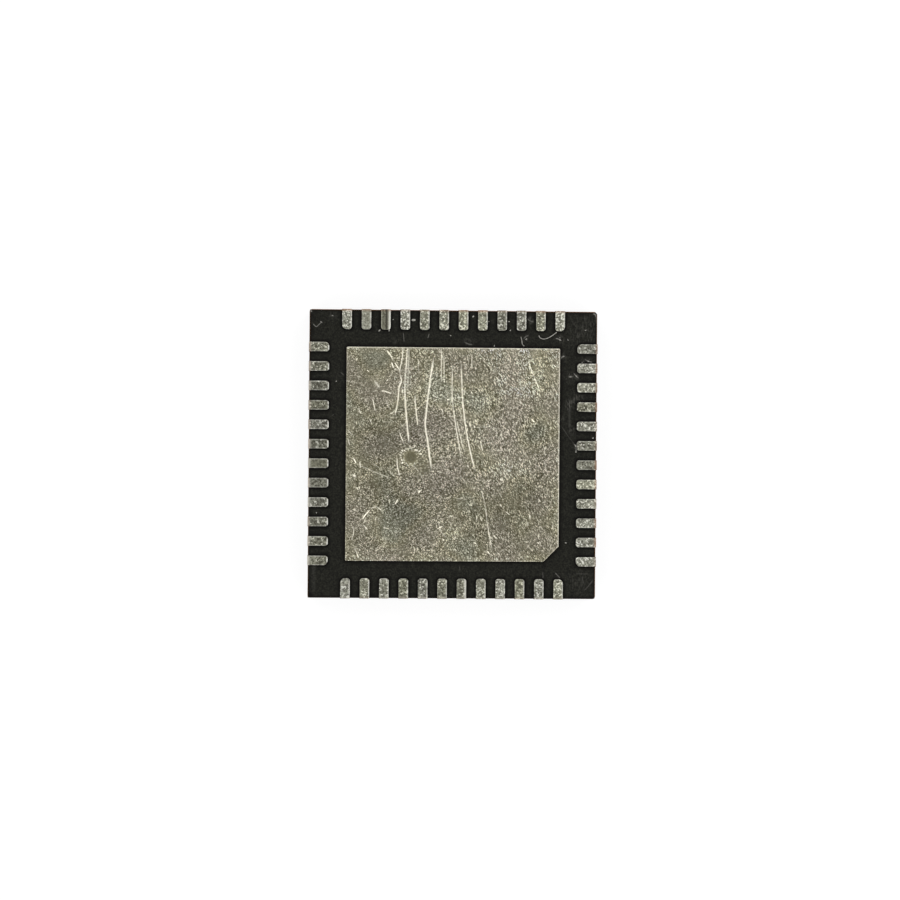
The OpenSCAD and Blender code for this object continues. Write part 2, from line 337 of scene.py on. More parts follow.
def add(tree, kind, inputs=None, stops=None, **settings):
    """One node of a tree: its settings, its inputs (values, sockets or nodes) and a colour ramp's stops."""
    node = tree.nodes.new(kind)
    for name, value in settings.items():
        setattr(node, name, value)
    for key, value in (inputs or {}).items():
        if isinstance(value, bpy.types.Node):
            value = next(socket for socket in value.outputs if socket.enabled)
        if isinstance(value, bpy.types.NodeSocket):
            tree.links.new(value, node.inputs[key])
        else:
            node.inputs[key].default_value = value
    for i, (place, stop_colour) in enumerate(stops or ()):
        elements = node.color_ramp.elements
        element = elements[i] if i < len(elements) else elements.new(1.0)
        element.position = place
        element.color = stop_colour
    return node


def grey(level):
    """Neutral linear RGBA of one level."""
    return (level, level, level, 1.0)


def empty_tree(owner):
    """Node tree of a material or a world, with nothing in it."""
    owner.use_nodes = True
    owner.node_tree.nodes.clear()
    return owner.node_tree


def new_material(name):
    """Empty node material, its tree and the place on the object in millimetres."""
    material = bpy.data.materials.new(name)
    tree = empty_tree(material)
    place = add(tree, "ShaderNodeTexCoord").outputs["Object"]
    place = add(tree, "ShaderNodeVectorMath", {0: place, "Scale": 1 / MM}, operation="SCALE")
    return material, tree, place


def painted(tree, base, layers):
    """A colour with shades laid over it, each as far as the attribute of its name says."""
    for name, shade in layers.items():
        amount = add(tree, "ShaderNodeAttribute", attribute_name=name).outputs["Fac"]
        base = add(tree, "ShaderNodeMix", {"Factor": amount, 6: base, 7: tuple(shade)}, data_type="RGBA")
    return base


def surface(tree, look, relief=None, strength=0.0, depth=0.0):
    """Ends a material: the shader with its values, and a fine relief, if any, of a depth in millimetres."""
    if relief is not None:
        bump = {"Strength": strength, "Distance": depth * MM, "Height": relief}
        look = {**look, "Normal": add(tree, "ShaderNodeBump", bump)}
    shader = add(tree, "ShaderNodeBsdfPrincipled", look)
    add(tree, "ShaderNodeOutputMaterial", {"Surface": shader})


# Matte tin: a satin metal, and the strength and depth of the relief that its crystals make
TIN_LOOK = {"Metallic": 1.0, "Roughness": 0.30}
TIN_RELIEF = 0.5, 0.004
# Clouds of dirt on tin: their size and how far they change a crystal; level from which crystals get painted
# glints
DIRT_SIZE, DIRT_SWING, SPARKLE_FROM = 0.06, 0.24, 0.6


def tin_crystals(tree, place, own, finish):
    """Tone and level of matte tin from each crystal's own value: dull with dirt, bright where rubbed, with
    painted glints on the brightest.
    """
    clouds = {"Vector": place, "Scale": 1 / DIRT_SIZE, "Detail": 2.0, "Roughness": 0.6}
    dirt = add(tree, "ShaderNodeTexNoise", clouds)
    swing = {0: dirt, 1: DIRT_SWING, 2: -DIRT_SWING / 2}
    level = add(tree, "ShaderNodeMath", swing, operation="MULTIPLY_ADD")
    level = add(tree, "ShaderNodeMath", {0: own, 1: level}, operation="ADD")
    # Painted glints: where the grain sparkles, the lighter crystals are lighter still
    sparkle = add(tree, "ShaderNodeAttribute", attribute_name="sparkle").outputs["Fac"]
    lighter = add(tree, "ShaderNodeMath", {0: level, 1: SPARKLE_FROM}, operation="SUBTRACT", use_clamp=True)
    level = add(tree, "ShaderNodeMath", {0: lighter, 1: sparkle, 2: level}, operation="MULTIPLY_ADD")
    # The brightest stops are the tin's own tone together with painted glints of the crystals' facets
    base = add(
        tree, "ShaderNodeValToRGB", {"Fac": level},
        stops=(
            (0.03, tuple(finish.dark_tin)),
            (0.56, tuple(finish.tin)),
            (0.84, tuple(finish.rubbed_tin)),
            (0.93, tuple(finish.bright_tin)),
        ),
    )
    # Where it is dull, all the crystals are more alike
    dull = add(tree, "ShaderNodeMath", {0: sparkle, 1: -1.0}, operation="MULTIPLY", use_clamp=True)
    base = add(tree, "ShaderNodeMix", {"Factor": dull, 6: base, 7: tuple(finish.tin)}, data_type="RGBA")
    return base, level


def tinned_pad(finish):
    """Matte tin plated on the pad and then handled: speckled with painted glints, with patches, scratches
    and a dull mark, and painted highlights.
    """
    material, tree, place = new_material("matte_tin_pad")
    # Crystals of about 0.016 mm, here and there drawn out to 0.028 by 0.013 mm, slanting down to the right
    crystal = add(tree, "ShaderNodeTexVoronoi", {"Vector": place, "Scale": 1 / 0.016}).outputs["Color"]
    slant = (0, 0, math.radians(64))
    stretch = (1 / 0.028, 1 / 0.013, 1 / 0.02)
    drawn_out = add(tree, "ShaderNodeMapping", {"Vector": place, "Rotation": slant})
    drawn_out = add(tree, "ShaderNodeMapping", {"Vector": drawn_out, "Scale": stretch})
    drawn_out = add(tree, "ShaderNodeTexVoronoi", {"Vector": drawn_out, "Scale": 1.0}).outputs["Color"]
    stroke = add(tree, "ShaderNodeAttribute", attribute_name="stroke").outputs["Fac"]
    own = add(tree, "ShaderNodeMix", {"Factor": stroke, 6: crystal, 7: drawn_out}, data_type="RGBA")
    own = add(tree, "ShaderNodeSeparateColor", {0: own})
    base, relief = tin_crystals(tree, place, own, finish)
    # A film of dirt in clouds of a third of a millimetre or so, which dulls the grain
    film = add(tree, "ShaderNodeTexNoise", {"Vector": place, "Scale": 1 / 0.35, "Detail": 3.0})
    shown = {"Value": film, "From Min": 0.45, "From Max": 0.70, "To Max": 0.5}
    film = add(tree, "ShaderNodeMapRange", shown)
    base = add(tree, "ShaderNodeMix", {"Factor": film, 6: base, 7: tuple(finish.tin)}, data_type="RGBA")
    # Patches rubbed lighter or darker, and a faint violet, olive or green cast
    gain = add(tree, "ShaderNodeAttribute", attribute_name="gain").outputs["Fac"]
    gain = add(tree, "ShaderNodeMath", {0: gain, 1: 1.0}, operation="ADD")
    base = add(tree, "ShaderNodeVectorMath", {0: base, "Scale": gain}, operation="SCALE")
    cast = add(tree, "ShaderNodeTexNoise", {"Vector": place, "Scale": 1 / 0.8, "Detail": 0.0})
    cast = add(
        tree, "ShaderNodeValToRGB", {"Fac": cast},
        stops=(
            (0.30, linear("#FFFBFA")),
            (0.45, linear("#FFFDF8")),
            (0.58, linear("#FFFDF0")),
            (0.72, linear("#FAFEF9")),
        ),
    )
    tinted = {"Factor": 1.0, 6: base, 7: cast}
    base = add(tree, "ShaderNodeMix", tinted, data_type="RGBA", blend_type="MULTIPLY")
    # The scratch layer paints fresh tin in the scratches together with their painted highlight, and the
    # rim's painted highlight
    base = painted(tree, base, {"scratch": finish.bright_tin, "mark": linear("#726E58")})
    surface(tree, {"Base Color": base, **TIN_LOOK}, relief, *TIN_RELIEF)
    return material


def tinned_lead(finish):
    """Matte tin plated on the leads: speckled with painted glints, bright on the rim with rubbed tin and a
    painted highlight, and coppery next to the cut.
    """
    material, tree, place = new_material("matte_tin_lead")
    # The tone holds each lead's own tone and its side's painted sheen
    tone = add(tree, "ShaderNodeAttribute", attribute_name="tone").outputs["Fac"]
    warm = add(tree, "ShaderNodeAttribute", attribute_name="warm").outputs["Fac"]
    # Crystals of about 0.03 mm: a darker lead, by its tone and painted sheen, has fewer bright ones, and
    # all are a little darker
    crystal = add(tree, "ShaderNodeTexVoronoi", {"Vector": place, "Scale": 1 / 0.028}).outputs["Color"]
    own = add(tree, "ShaderNodeSeparateColor", {0: crystal})
    shift = add(tree, "ShaderNodeMath", {0: tone, 1: 0.5, 2: -0.5}, operation="MULTIPLY_ADD")
    own = add(tree, "ShaderNodeMath", {0: own, 1: shift}, operation="ADD")
    base, relief = tin_crystals(tree, place, own, finish)
    shade = add(tree, "ShaderNodeMath", {0: tone, 1: 0.5, 2: 0.5}, operation="MULTIPLY_ADD")
    base = add(tree, "ShaderNodeVectorMath", {0: base, "Scale": shade}, operation="SCALE")
    tinted = {"Factor": warm, 6: base, 7: linear("#FFFDD6")}
    base = add(tree, "ShaderNodeMix", tinted, data_type="RGBA", blend_type="MULTIPLY")
    base = painted(tree, base, {"rim": finish.bright_tin, "bare": finish.copper, "dirt": finish.dirt})
    surface(tree, {"Base Color": base, **TIN_LOOK}, relief, *TIN_RELIEF)
    return material


def sawn_copper(finish):
    """Copper cut by a saw: a pinkish metal with fine lines along the cut."""
    material, tree, place = new_material("sawn_copper")
    # Saw marks about 0.01 mm apart and 0.25 mm long
    marks = add(tree, "ShaderNodeMapping", {"Vector": place, "Scale": (1 / 0.25, 1 / 0.25, 1 / 0.01)})
    marks = add(tree, "ShaderNodeTexNoise", {"Vector": marks, "Scale": 1.0, "Detail": 2.0})
    base = add(
        tree, "ShaderNodeValToRGB", {"Fac": marks},
        stops=((0.3, linear("#8E5C40")), (0.6, tuple(finish.copper)), (0.8, linear("#E0B090"))),
    )
    look = {"Base Color": base, "Metallic": 1.0, "Roughness": 0.38}
    surface(tree, look, marks, strength=0.5, depth=0.003)
    return material


def moulded_epoxy(finish):
    """Black epoxy with silica, as it leaves the mould: a dull black, with scratches, and a painted shadow
    where it meets the metal.
    """
    material, tree, place = new_material("moulded_epoxy")
    # Filler grains of about 0.03 mm
    grain = add(tree, "ShaderNodeTexNoise", {"Vector": place, "Scale": 1 / 0.03, "Detail": 2.0})
    base = add(
        tree, "ShaderNodeValToRGB", {"Fac": grain},
        stops=((0.3, linear("#0C0C0A")), (0.55, tuple(finish.epoxy)), (0.8, linear("#2C2C26"))),
    )
    # Dirt rubbed on in upright streaks of about 0.03 by 0.09 mm
    streak = add(tree, "ShaderNodeMapping", {"Vector": place, "Scale": (1 / 0.03, 1 / 0.09, 1)})
    streak = add(tree, "ShaderNodeTexNoise", {"Vector": streak, "Scale": 1.0, "Detail": 2.0})
    streak = add(tree, "ShaderNodeMapRange", {"Value": streak, "From Min": 0.45, "From Max": 0.70})
    smear = add(tree, "ShaderNodeAttribute", attribute_name="smear").outputs["Fac"]
    smear = add(tree, "ShaderNodeMath", {0: smear, 1: streak}, operation="MULTIPLY")
    base = add(tree, "ShaderNodeMix", {"Factor": smear, 6: base, 7: tuple(finish.smear)}, data_type="RGBA")
    layers = {"seam": finish.seam, "sawn_edge": finish.sawn, "scratch": linear("#8C8A84")}
    base = painted(tree, base, layers)
    look = {"Base Color": base, "Roughness": 0.5, "IOR": 1.5, "Specular IOR Level": 0.08}
    surface(tree, look, grain, strength=0.4, depth=0.003)
    return material


def sawn_epoxy():
    """The same epoxy cut by a saw: a matt dark grey with pale filler grains and lines along the cut."""
    material, tree, place = new_material("sawn_epoxy")
    # Cut filler grains of about 0.04 mm
    filler = add(tree, "ShaderNodeTexVoronoi", {"Vector": place, "Scale": 1 / 0.04}).outputs["Distance"]
    # Saw marks about 0.02 mm apart and half a millimetre long
    marks = add(tree, "ShaderNodeMapping", {"Vector": place, "Scale": (1 / 0.5, 1 / 0.5, 1 / 0.02)})
    marks = add(tree, "ShaderNodeTexNoise", {"Vector": marks, "Scale": 1.0, "Detail": 3.0})
    level = add(tree, "ShaderNodeMath", {0: filler, 1: -0.5, 2: marks}, operation="MULTIPLY_ADD")
    base = add(
        tree, "ShaderNodeValToRGB", {"Fac": level},
        stops=((0.1, linear("#121210")), (0.35, linear("#24231F")), (0.6, linear("#47443C"))),
    )
    look = {"Base Color": base, "Roughness": 0.62, "IOR": 1.5, "Specular IOR Level": 0.3}
    surface(tree, look, level, strength=0.6, depth=0.004)
    return material


def two_toned(name, size, dark, light, metallic, roughness, detail=3.0):
    """Material of two tones in grains of one size, in millimetres."""
    material, tree, place = new_material(name)
    grain = add(tree, "ShaderNodeTexNoise", {"Vector": place, "Scale": 1 / size, "Detail": detail})
    stops = ((0.3, linear(dark)), (0.7, linear(light)))
    base = add(tree, "ShaderNodeValToRGB", {"Fac": grain}, stops=stops)
    surface(tree, {"Base Color": base, "Metallic": metallic, "Roughness": roughness})
    return material


def ripple(places, size, layer=0.0):
    """Smooth noise, from about -1 to 1, at places in millimetres, with swells of one size."""
    return np.array([noise.noise((x / size, y / size, layer)) for x, y in places])


def blobs(places, spots):
    """Sum of soft round spots at places. Each spot has a place, a radius and an amount."""
    total = np.zeros(len(places))
    for centre, radius, amount in spots:
        away = np.linalg.norm(places - centre, axis=1) / radius
        total += amount * np.exp(-(away**2))
    return total


def sketch_line(points, step):
    """Points of a smooth line through the given ones, about a step apart, as an array in millimetres."""
    points = np.array(points, float)
    padded = np.vstack([2 * points[0] - points[1], points, 2 * points[-1] - points[-2]])
    line = [points[:1]]
    for a, b, c, d in zip(padded, padded[1:], padded[2:], padded[3:]):
        count = max(3, round(np.linalg.norm(c - b) / step))
        t = np.linspace(0, 1, count + 1)[1:, None]
        square, cube = 2 * a - 5 * b + 4 * c - d, 3 * b - a - 3 * c + d
        line.append(0.5 * (2 * b + (c - a) * t + square * t**2 + cube * t**3))
    return np.vstack(line)


def store(mesh, layer, values):
    """Stores a named value for each point of a mesh."""
    values = np.array(values, np.float32)
    mesh.attributes.new(layer, "FLOAT", "POINT").data.foreach_set("value", values)


def smooth(mesh, crease):
    """Shades a mesh smooth, apart from its edges that turn by more than a crease in degrees."""
    mesh.shade_smooth()
    mesh.set_sharp_from_angle(angle=math.radians(crease))


def in_scene(name, data):
    """New object in the scene."""
    item = bpy.data.objects.new(name, data)
    bpy.context.scene.collection.objects.link(item)
    return item


class Groove:
    """One scratch: its line, the edges beside it and its strength, which fades at the ends and wavers."""

    # Step of its points in millimetres, and share of its length over which each end fades
    STEP, FADE = 0.03, 0.12
    # Swells of its strength: their length in millimetres, then their middle, swing, least and most
    WAVER = 0.22
    MIDDLE, SWING, LEAST, MOST = 0.95, 0.6, 0.4, 1.2

    def __init__(self, width, strength, points):
        self.half = width / 2
        self.line = sketch_line(points, self.STEP)
        along = np.gradient(self.line, axis=0)
        along /= np.linalg.norm(along, axis=1)[:, None]
        across = np.stack([-along[:, 1], along[:, 0]], axis=1) * self.half
        self.edges = (self.line + across)[1:-1], (self.line - across)[1:-1]
        way = np.linspace(0, 1, len(self.line))
        fade = np.clip(np.minimum(way, 1 - way) / self.FADE, 0, 1)
        swell = self.MIDDLE + self.SWING * ripple(self.line, self.WAVER)
        self.strength = strength * fade * np.clip(swell, self.LEAST, self.MOST)

    def runs(self):
        """The lines that the mesh has to follow."""
        yield self.line
        for edge in self.edges:
            yield np.vstack([self.line[:1], edge, self.line[-1:]])

    def amount(self, places):
        """Strength of the scratch at places: greatest on its line and none from its edges on."""
        amounts = np.zeros(len(places))
        low, high = self.line.min(axis=0) - self.half, self.line.max(axis=0) + self.half
        near = np.flatnonzero(((places > low) & (places < high)).all(axis=1))
        spots = places[near]
        for i, (a, b) in enumerate(zip(self.line, self.line[1:])):
            span = b - a
            t = np.clip((spots - a) @ span / (span @ span), 0, 1)
            away = np.linalg.norm(spots - a - t[:, None] * span, axis=1)
            strength = self.strength[i] * (1 - t) + self.strength[i + 1] * t
            here = strength * np.clip(1 - away / self.half, 0, 1)
            amounts[near] = np.maximum(amounts[near], here)
        return amounts


def scratched(places, grooves):
    """Strength of the strongest scratch at places."""
    return np.max([groove.amount(places) for groove in grooves], axis=0)


def inside(places, starts, ends):
    """Which places lie inside closed outlines, given as the starts and ends of their edges."""
    odd = np.zeros(len(places), bool)
    for (x0, y0), (x1, y1) in zip(starts, ends):
        if y0 == y1:
            continue
        spans = (places[:, 1] < y0) != (places[:, 1] < y1)
        crossing = x0 + (places[:, 1] - y0) * (x1 - x0) / (y1 - y0)
        odd ^= spans & (places[:, 0] < crossing)
    return odd


class Resurfacing:
    """A copy of a solid whose upper face is made again, with a rounded rim, grooves and grain."""

    # Points that are this close, in metres, are one
    MERGE = 2e-8
    # Rings of points from the rim inwards: share of the rim's width and of its drop
    RINGS = ((0.0, 1.0), (0.3, 0.3), (1.0, 0.0))
    # Share of the rim's width that grooves stay clear of
    CLEAR = 1.3
    # Share of the grid's spacing that the grid stays clear of the rim and the grooves
    GRID_CLEAR = 0.6
    # Least cosine that a corner's offset is divided by
    LEAST_COSINE = 0.5
    # Tolerance of the triangles, in millimetres
    TOLERANCE = 1e-7
    # The sawn sides: how close to the body's side, in millimetres, and the most that they face up or down
    SAWN_REACH, SAWN_TILT = 0.03, 0.1
    # Edges that turn by more, in degrees, stay sharp
    CREASE = 35

    def __init__(self, node, keep_below, spacing):
        self.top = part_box(node)[1].z
        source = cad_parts[node].data.copy()
        source.attributes.remove(source.attributes["custom_normal"])
        self.bm = bmesh.new()
        self.bm.from_mesh(source)
        bpy.data.meshes.remove(source)
        bmesh.ops.remove_doubles(self.bm, verts=self.bm.verts, dist=self.MERGE)
        upper = [f for f in self.bm.faces if min(v.co.z for v in f.verts) > keep_below]
        bmesh.ops.delete(self.bm, geom=upper, context="FACES")
        self.split_rim(spacing)
        self.wear_corners()
        self.read_rim()

    def split_rim(self, spacing):
        """Splits the open rim's edges so that none is much longer than the spacing."""
        by_cuts = {}
        for edge in self.bm.edges:
            if edge.is_boundary:
                cuts = round(edge.calc_length() / spacing) - 1
                if cuts > 0:
                    by_cuts.setdefault(cuts, []).append(edge)
        for cuts, edges in by_cuts.items():
            bmesh.ops.subdivide_edges(self.bm, edges=edges, cuts=cuts)

    def wear_corners(self):
        """Draws in the body's corners as far as each is worn."""
        for vert in self.bm.verts:
            for (x, y), worn in WORN_CORNERS.items():
                corner = Vector((x * BODY_HALF, y * BODY_HALF, vert.co.z))
                if vert.co.z > SHEET_BOTTOM / 2 and (vert.co - corner).length < MICRON:
                    vert.co -= Vector((x, y, 0)) * worn * MM

    def read_rim(self):
        """Reads the open rim: its points, in millimetres, the next of each and the inward direction."""
        following = {}
        for edge in self.bm.edges:
            if edge.is_boundary:
                loop = edge.link_loops[0]
                following[loop.link_loop_next.vert] = loop.vert
        self.rim = list(following)
        number = {vert: i for i, vert in enumerate(self.rim)}
        self.next = np.array([number[following[vert]] for vert in self.rim])
        self.points = np.array([vert.co[:2] for vert in self.rim]) / MM
        ahead = self.points[self.next] - self.points
        ahead /= np.linalg.norm(ahead, axis=1)[:, None]
        behind = np.empty_like(ahead)
        behind[self.next] = ahead
        turned = np.stack([-ahead[:, 1] - behind[:, 1], ahead[:, 0] + behind[:, 0]], axis=1)
        turned /= np.linalg.norm(turned, axis=1)[:, None]
        # A corner's offset grows so that both its sides keep the same distance
        cosine = turned[:, 0] * -ahead[:, 1] + turned[:, 1] * ahead[:, 0]
        self.inward = turned / np.maximum(cosine, self.LEAST_COSINE)[:, None]

    def clear_runs(self, grooves, rim_width):
        """The stretches of the grooves' lines that stay clear of the rim."""
        clear = self.points + self.inward * rim_width * self.CLEAR
        runs = [run for groove in grooves for run in groove.runs()]
        kept = inside(np.vstack(runs), clear, clear[self.next])
        for run, keep in zip(runs, np.split(kept, np.cumsum([len(run) for run in runs]))):
            cuts = np.flatnonzero(keep[1:] != keep[:-1]) + 1
            for stretch, flags in zip(np.split(run, cuts), np.split(keep, cuts)):
                if flags[0] and len(stretch) > 1:
                    yield stretch

    def lay(self, rim_width, grid, grooves):
        """Places of the new face, the rim's rings first, and links that its triangles have to follow."""
        places, links = [], []
        for reach, _ in self.RINGS:
            start = sum(map(len, places))
            places.append(self.points + self.inward * rim_width * reach)
            links += [(start + i, start + j) for i, j in enumerate(self.next)]
        for run in self.clear_runs(grooves, rim_width):
            start = sum(map(len, places))
            places.append(run)
            links += [(start + i, start + i + 1) for i in range(len(run) - 1)]
        laid = np.vstack(places)
        tree = KDTree(len(laid))
        for i, (x, y) in enumerate(laid):
            tree.insert((x, y, 0), i)
        tree.balance()
        spacing = np.median(np.linalg.norm(grid[1:] - grid[:-1], axis=1))
        grid = grid[inside(grid, self.points, self.points[self.next])]
        grid = grid[[tree.find((x, y, 0))[2] > self.GRID_CLEAR * spacing for x, y in grid]]
        return np.vstack([laid, grid]), links

    def build(self, rim_width, rim_drop, grid, grooves, height, layers):
        """Fills the rim. height gives heights below the top and layers the attributes, all from places."""
        laid, links = self.lay(rim_width, grid, grooves)
        found = delaunay_2d_cdt([Vector(p) for p in laid], links, [], 1, self.TOLERANCE)
        spots, triangles, sources = np.array([tuple(p) for p in found[0]]), found[2], found[3]
        first = np.array([source[0] if source else len(laid) for source in sources])
        lowered = np.array(height(spots))
        rows = len(self.points)
        for ring, (_, drop) in enumerate(self.RINGS):
            lowered[(first >= ring * rows) & (first < (ring + 1) * rows)] = rim_drop * drop
        verts = []
        for (x, y), low, number in zip(spots, lowered, first):
            if number < rows:
                vert = self.rim[number]
                vert.co.z = self.top - low * MM
            else:
                vert = self.bm.verts.new((x * MM, y * MM, self.top - low * MM))
            verts.append(vert)
        solid = inside(spots[np.array(triangles)].mean(axis=1), self.points, self.points[self.next])
        for triangle, kept in zip(triangles, solid):
            if kept and max(first[i] for i in triangle) >= rows:
                self.bm.faces.new([verts[i] for i in triangle])
        bmesh.ops.recalc_face_normals(self.bm, faces=self.bm.faces)
        self.bm.verts.index_update()
        self.order = [vert.index for vert in verts]
        self.layers = layers(spots, first < len(self.RINGS) * rows)

    def finish(self, name, material, sawn):
        """The finished piece, with one material for the sawn sides and one for the rest."""
        mesh = bpy.data.meshes.new(name)
        self.bm.to_mesh(mesh)
        self.bm.free()
        for layer, amounts in self.layers.items():
            values = np.zeros(len(mesh.vertices))
            values[self.order] = amounts
            store(mesh, layer, values)
        smooth(mesh, self.CREASE)
        mesh.materials.clear()
        mesh.materials.append(material)
        mesh.materials.append(sawn)
        for face in mesh.polygons:
            reach = max(abs(face.center.x), abs(face.center.y))
            by_side = reach > BODY_HALF - self.SAWN_REACH * MM
            face.material_index = 1 if by_side and abs(face.normal.z) < self.SAWN_TILT else 0
        return in_scene(name, mesh)


# How far each place moves from a regular grid, as a share of its spacing
GRID_JITTER = 0.3


def jittered_grid(half, spacing, seed):
    """Places all over a square, each moved a little from a regular grid."""
    steps = np.arange(-half, half, spacing)
    places = np.stack(np.meshgrid(steps, steps), axis=-1).reshape(-1, 2)
    random = np.random.default_rng(seed)
    return places + random.uniform(-GRID_JITTER, GRID_JITTER, places.shape) * spacing


def ride(piece, slot, *nodes):
    """A finished piece rides on the body and stands for its nodes, which it hides; its slot is not used."""
    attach(piece, BODY)
    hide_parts(*nodes)


class CHIP_OT_pad(bpy.types.Operator):
    """Makes the exposed pad: grained tin with a rounded rim, scratches and a round contact mark."""

    bl_idname = "chip.pad"
    bl_label = "Exposed pad"

    SEED, GRID_SEED = 7, 3
    # The solid is kept up to a little above the middle of the sheet; step of the rim's points
    KEPT_ABOVE_MIDDLE, RIM_STEP = 0.01, 0.03
    # Short scratches that point away from the contact mark: from one turn to another, in degrees, each
    # turned a little more or less, and their distance from it, length and strength, from least to most
    RAY_COUNT, RAY_WIDTH = 15, 0.032
    RAYS_FROM, RAYS_TO, RAY_TURN = 15, 215, 6
    RAY_GAP, RAY_LENGTH, RAY_STRENGTH = (0.015, 0.065), (0.04, 0.08), (0.6, 1.0)
    # Painted highlight: a ring of light on the lip round the contact mark, lightest at one turn
    HALO_GAP, HALO_WIDTH, HALO_LEAST = 0.018, 0.025, 0.30
    HALO_TURN = 260
    # Short strokes all over the pad: slant and its spread in the left and the right half, in degrees, half
    # length and strength from least to most, and what they keep from the edge, the mark and the chamfer
    STROKE_COUNT, STROKE_WIDTH = 150, 0.024
    STROKE_SLANT, SPREAD_LEFT, SPREAD_RIGHT = -60, 80, 18
    STROKE_HALF, STROKE_STRENGTH = (0.025, 0.07), (0.35, 0.9)
    FROM_EDGE, FROM_MARK, FROM_CHAMFER = 0.1, 0.3, 0.3
    # Slanting crystals: where along X they begin and would be everywhere, their greatest share, and the
    # swing, size and sharpness of their patches
    SLANT_FROM, SLANT_FULL, SLANT_MOST = -0.6, 0.8, 0.7
    SLANT_SWING, SLANT_SIZE, SLANT_SHARP = 0.7, 0.14, 4
    # Rubbed rim, and the painted highlight that makes it lighter at the pad's right and upper edges
    RIM_RUBBED, RIM_LIGHT = 0.10, 0.42
    # Lighter band along each edge: axis, way, gain and width in millimetres
    EDGE_BANDS = ((0, 1, 0.17, 0.20), (1, 1, 0.22, 0.18), (0, -1, 0.08, 0.20), (1, -1, 0.20, 0.26))
    # Depth of the shallowest pit as a share, and gains of the scratches' brightness and of the patches
    PIT_LEAST, SCRATCH_GAIN, PATCH_GAIN = 0.3, 1.3, 1.5
    # Dish of the contact mark: depth that the solid's floor of it lies above, fullness, end in radii and
    # share of the grain that is left
    MARK_DEEPEST, DISH_FULL, DISH_END, DISH_GRAIN = 0.05, 1.2, 1.1, 0.3
    # Dull tin of the contact mark: end in radii, sharpness and strength
    DULL_END, DULL_SHARP, DULL_MOST = 1.02, 16, 0.9

    def read_contact_mark(self):
        """Centre and radius of the solid's contact mark, in millimetres, from the points of its floor."""
        deepest, highest = PAD_TOP - self.MARK_DEEPEST * MM, PAD_TOP - MICRON
        floor = np.array([point[:2] for point in PAD_POINTS if deepest < point.z < highest]) / MM
        self.mark = (floor.min(axis=0) + floor.max(axis=0)) / 2
        self.mark_r = np.linalg.norm(floor - self.mark, axis=1).max()

    def contact_rays(self, random):
        """Short scratches that point away from the contact mark, most of them on its upper side."""
        turns = np.linspace(self.RAYS_FROM, self.RAYS_TO, self.RAY_COUNT)
        turns = turns + random.uniform(-self.RAY_TURN, self.RAY_TURN, self.RAY_COUNT)
        for turn in np.radians(turns):
            way = np.array((math.cos(turn), math.sin(turn)))
            inner = self.mark_r + random.uniform(*self.RAY_GAP)
            outer = inner + random.uniform(*self.RAY_LENGTH)
            ends = self.mark + way * inner, self.mark + way * outer
            yield Groove(self.RAY_WIDTH, random.uniform(*self.RAY_STRENGTH), ends)

    def short_strokes(self, random):
        """Short scratches all over the pad: any way in its left half, and slanting in its right half."""
        reach = PAD_HALF / MM - self.FROM_EDGE
        for _ in range(self.STROKE_COUNT):
            middle = random.uniform(-reach, reach, 2)
            spread = self.SPREAD_LEFT if middle[0] < 0 else self.SPREAD_RIGHT
            turn = math.radians(self.STROKE_SLANT + random.normal(0, spread))
            way = np.array((math.cos(turn), math.sin(turn))) * random.uniform(*self.STROKE_HALF)
            off_mark = np.linalg.norm(middle - self.mark) > self.FROM_MARK
            if off_mark and middle[0] - middle[1] < 2 * reach - self.FROM_CHAMFER:
                strength = random.uniform(*self.STROKE_STRENGTH)
                yield Groove(self.STROKE_WIDTH, strength, (middle - way, middle + way))

    def slanting(self, places):
        """Share of slanting crystals at places: patches of them, most in the right half."""
        share_here = (places[:, 0] - self.SLANT_FROM) / (self.SLANT_FULL - self.SLANT_FROM)
        share_here = np.clip(share_here, 0, self.SLANT_MOST)
        level = share_here - 0.5 - self.SLANT_SWING * ripple(places, self.SLANT_SIZE)
        return np.clip(level * self.SLANT_SHARP + 0.5, 0, 1)

    def mark_reach(self, places):
        """Distance of places from the middle of the contact mark, in its radii."""
        return np.linalg.norm(places - self.mark, axis=1) / self.mark_r

    def halo_highlight(self, places):
        """Gain of the painted highlight ring on the lip round the contact mark."""
        away = places - self.mark
        past = (self.mark_reach(places) - 1) * self.mark_r - self.HALO_GAP
        turned = np.cos(np.arctan2(away[:, 1], away[:, 0]) - math.radians(self.HALO_TURN))
        return np.exp(-((past / self.HALO_WIDTH) ** 2)) * (self.HALO_LEAST + np.clip(turned, 0, 1))

    def bands(self, places):
        """Gain of the lighter bands along the edges."""
        near = (
            gain * np.clip(1 - (PAD_HALF / MM - way * places[:, axis]) / width, 0, 1)
            for axis, way, gain, width in self.EDGE_BANDS
        )
        return np.maximum.reduce(list(near))

    def execute(self, context):
        finish = context.scene.chip_pad
        random = np.random.default_rng(self.SEED)
        grooves = [Groove(*scratch) for scratch in PAD_SCRATCHES]
        self.read_contact_mark()
        grooves += self.contact_rays(random)
        grooves += self.short_strokes(random)

        # Painted highlight on the rim at the pad's right and upper edges, over a little rubbed tin all
        # round
        def rim_highlight(places):
            lit = (places > PAD_HALF / MM - 2 * finish.rim_width / MM).any(axis=1)
            return self.RIM_RUBBED + self.RIM_LIGHT * lit

        def height(places):
            low = random.uniform(0, finish.grain_depth / MM, len(places))
            pits = random.random(len(places)) < finish.pit_share
            low[pits] += random.uniform(self.PIT_LEAST, 1, pits.sum()) * finish.pit_depth / MM
            low = np.maximum(low, scratched(places, grooves) * finish.groove_depth / MM)
            reach = self.mark_reach(places)
            dish = finish.mark_depth / MM * np.clip(self.DISH_FULL - reach**4, 0, 1)
            return np.where(reach < self.DISH_END, np.maximum(low * self.DISH_GRAIN, dish), low)

        def layers(places, on_rim):
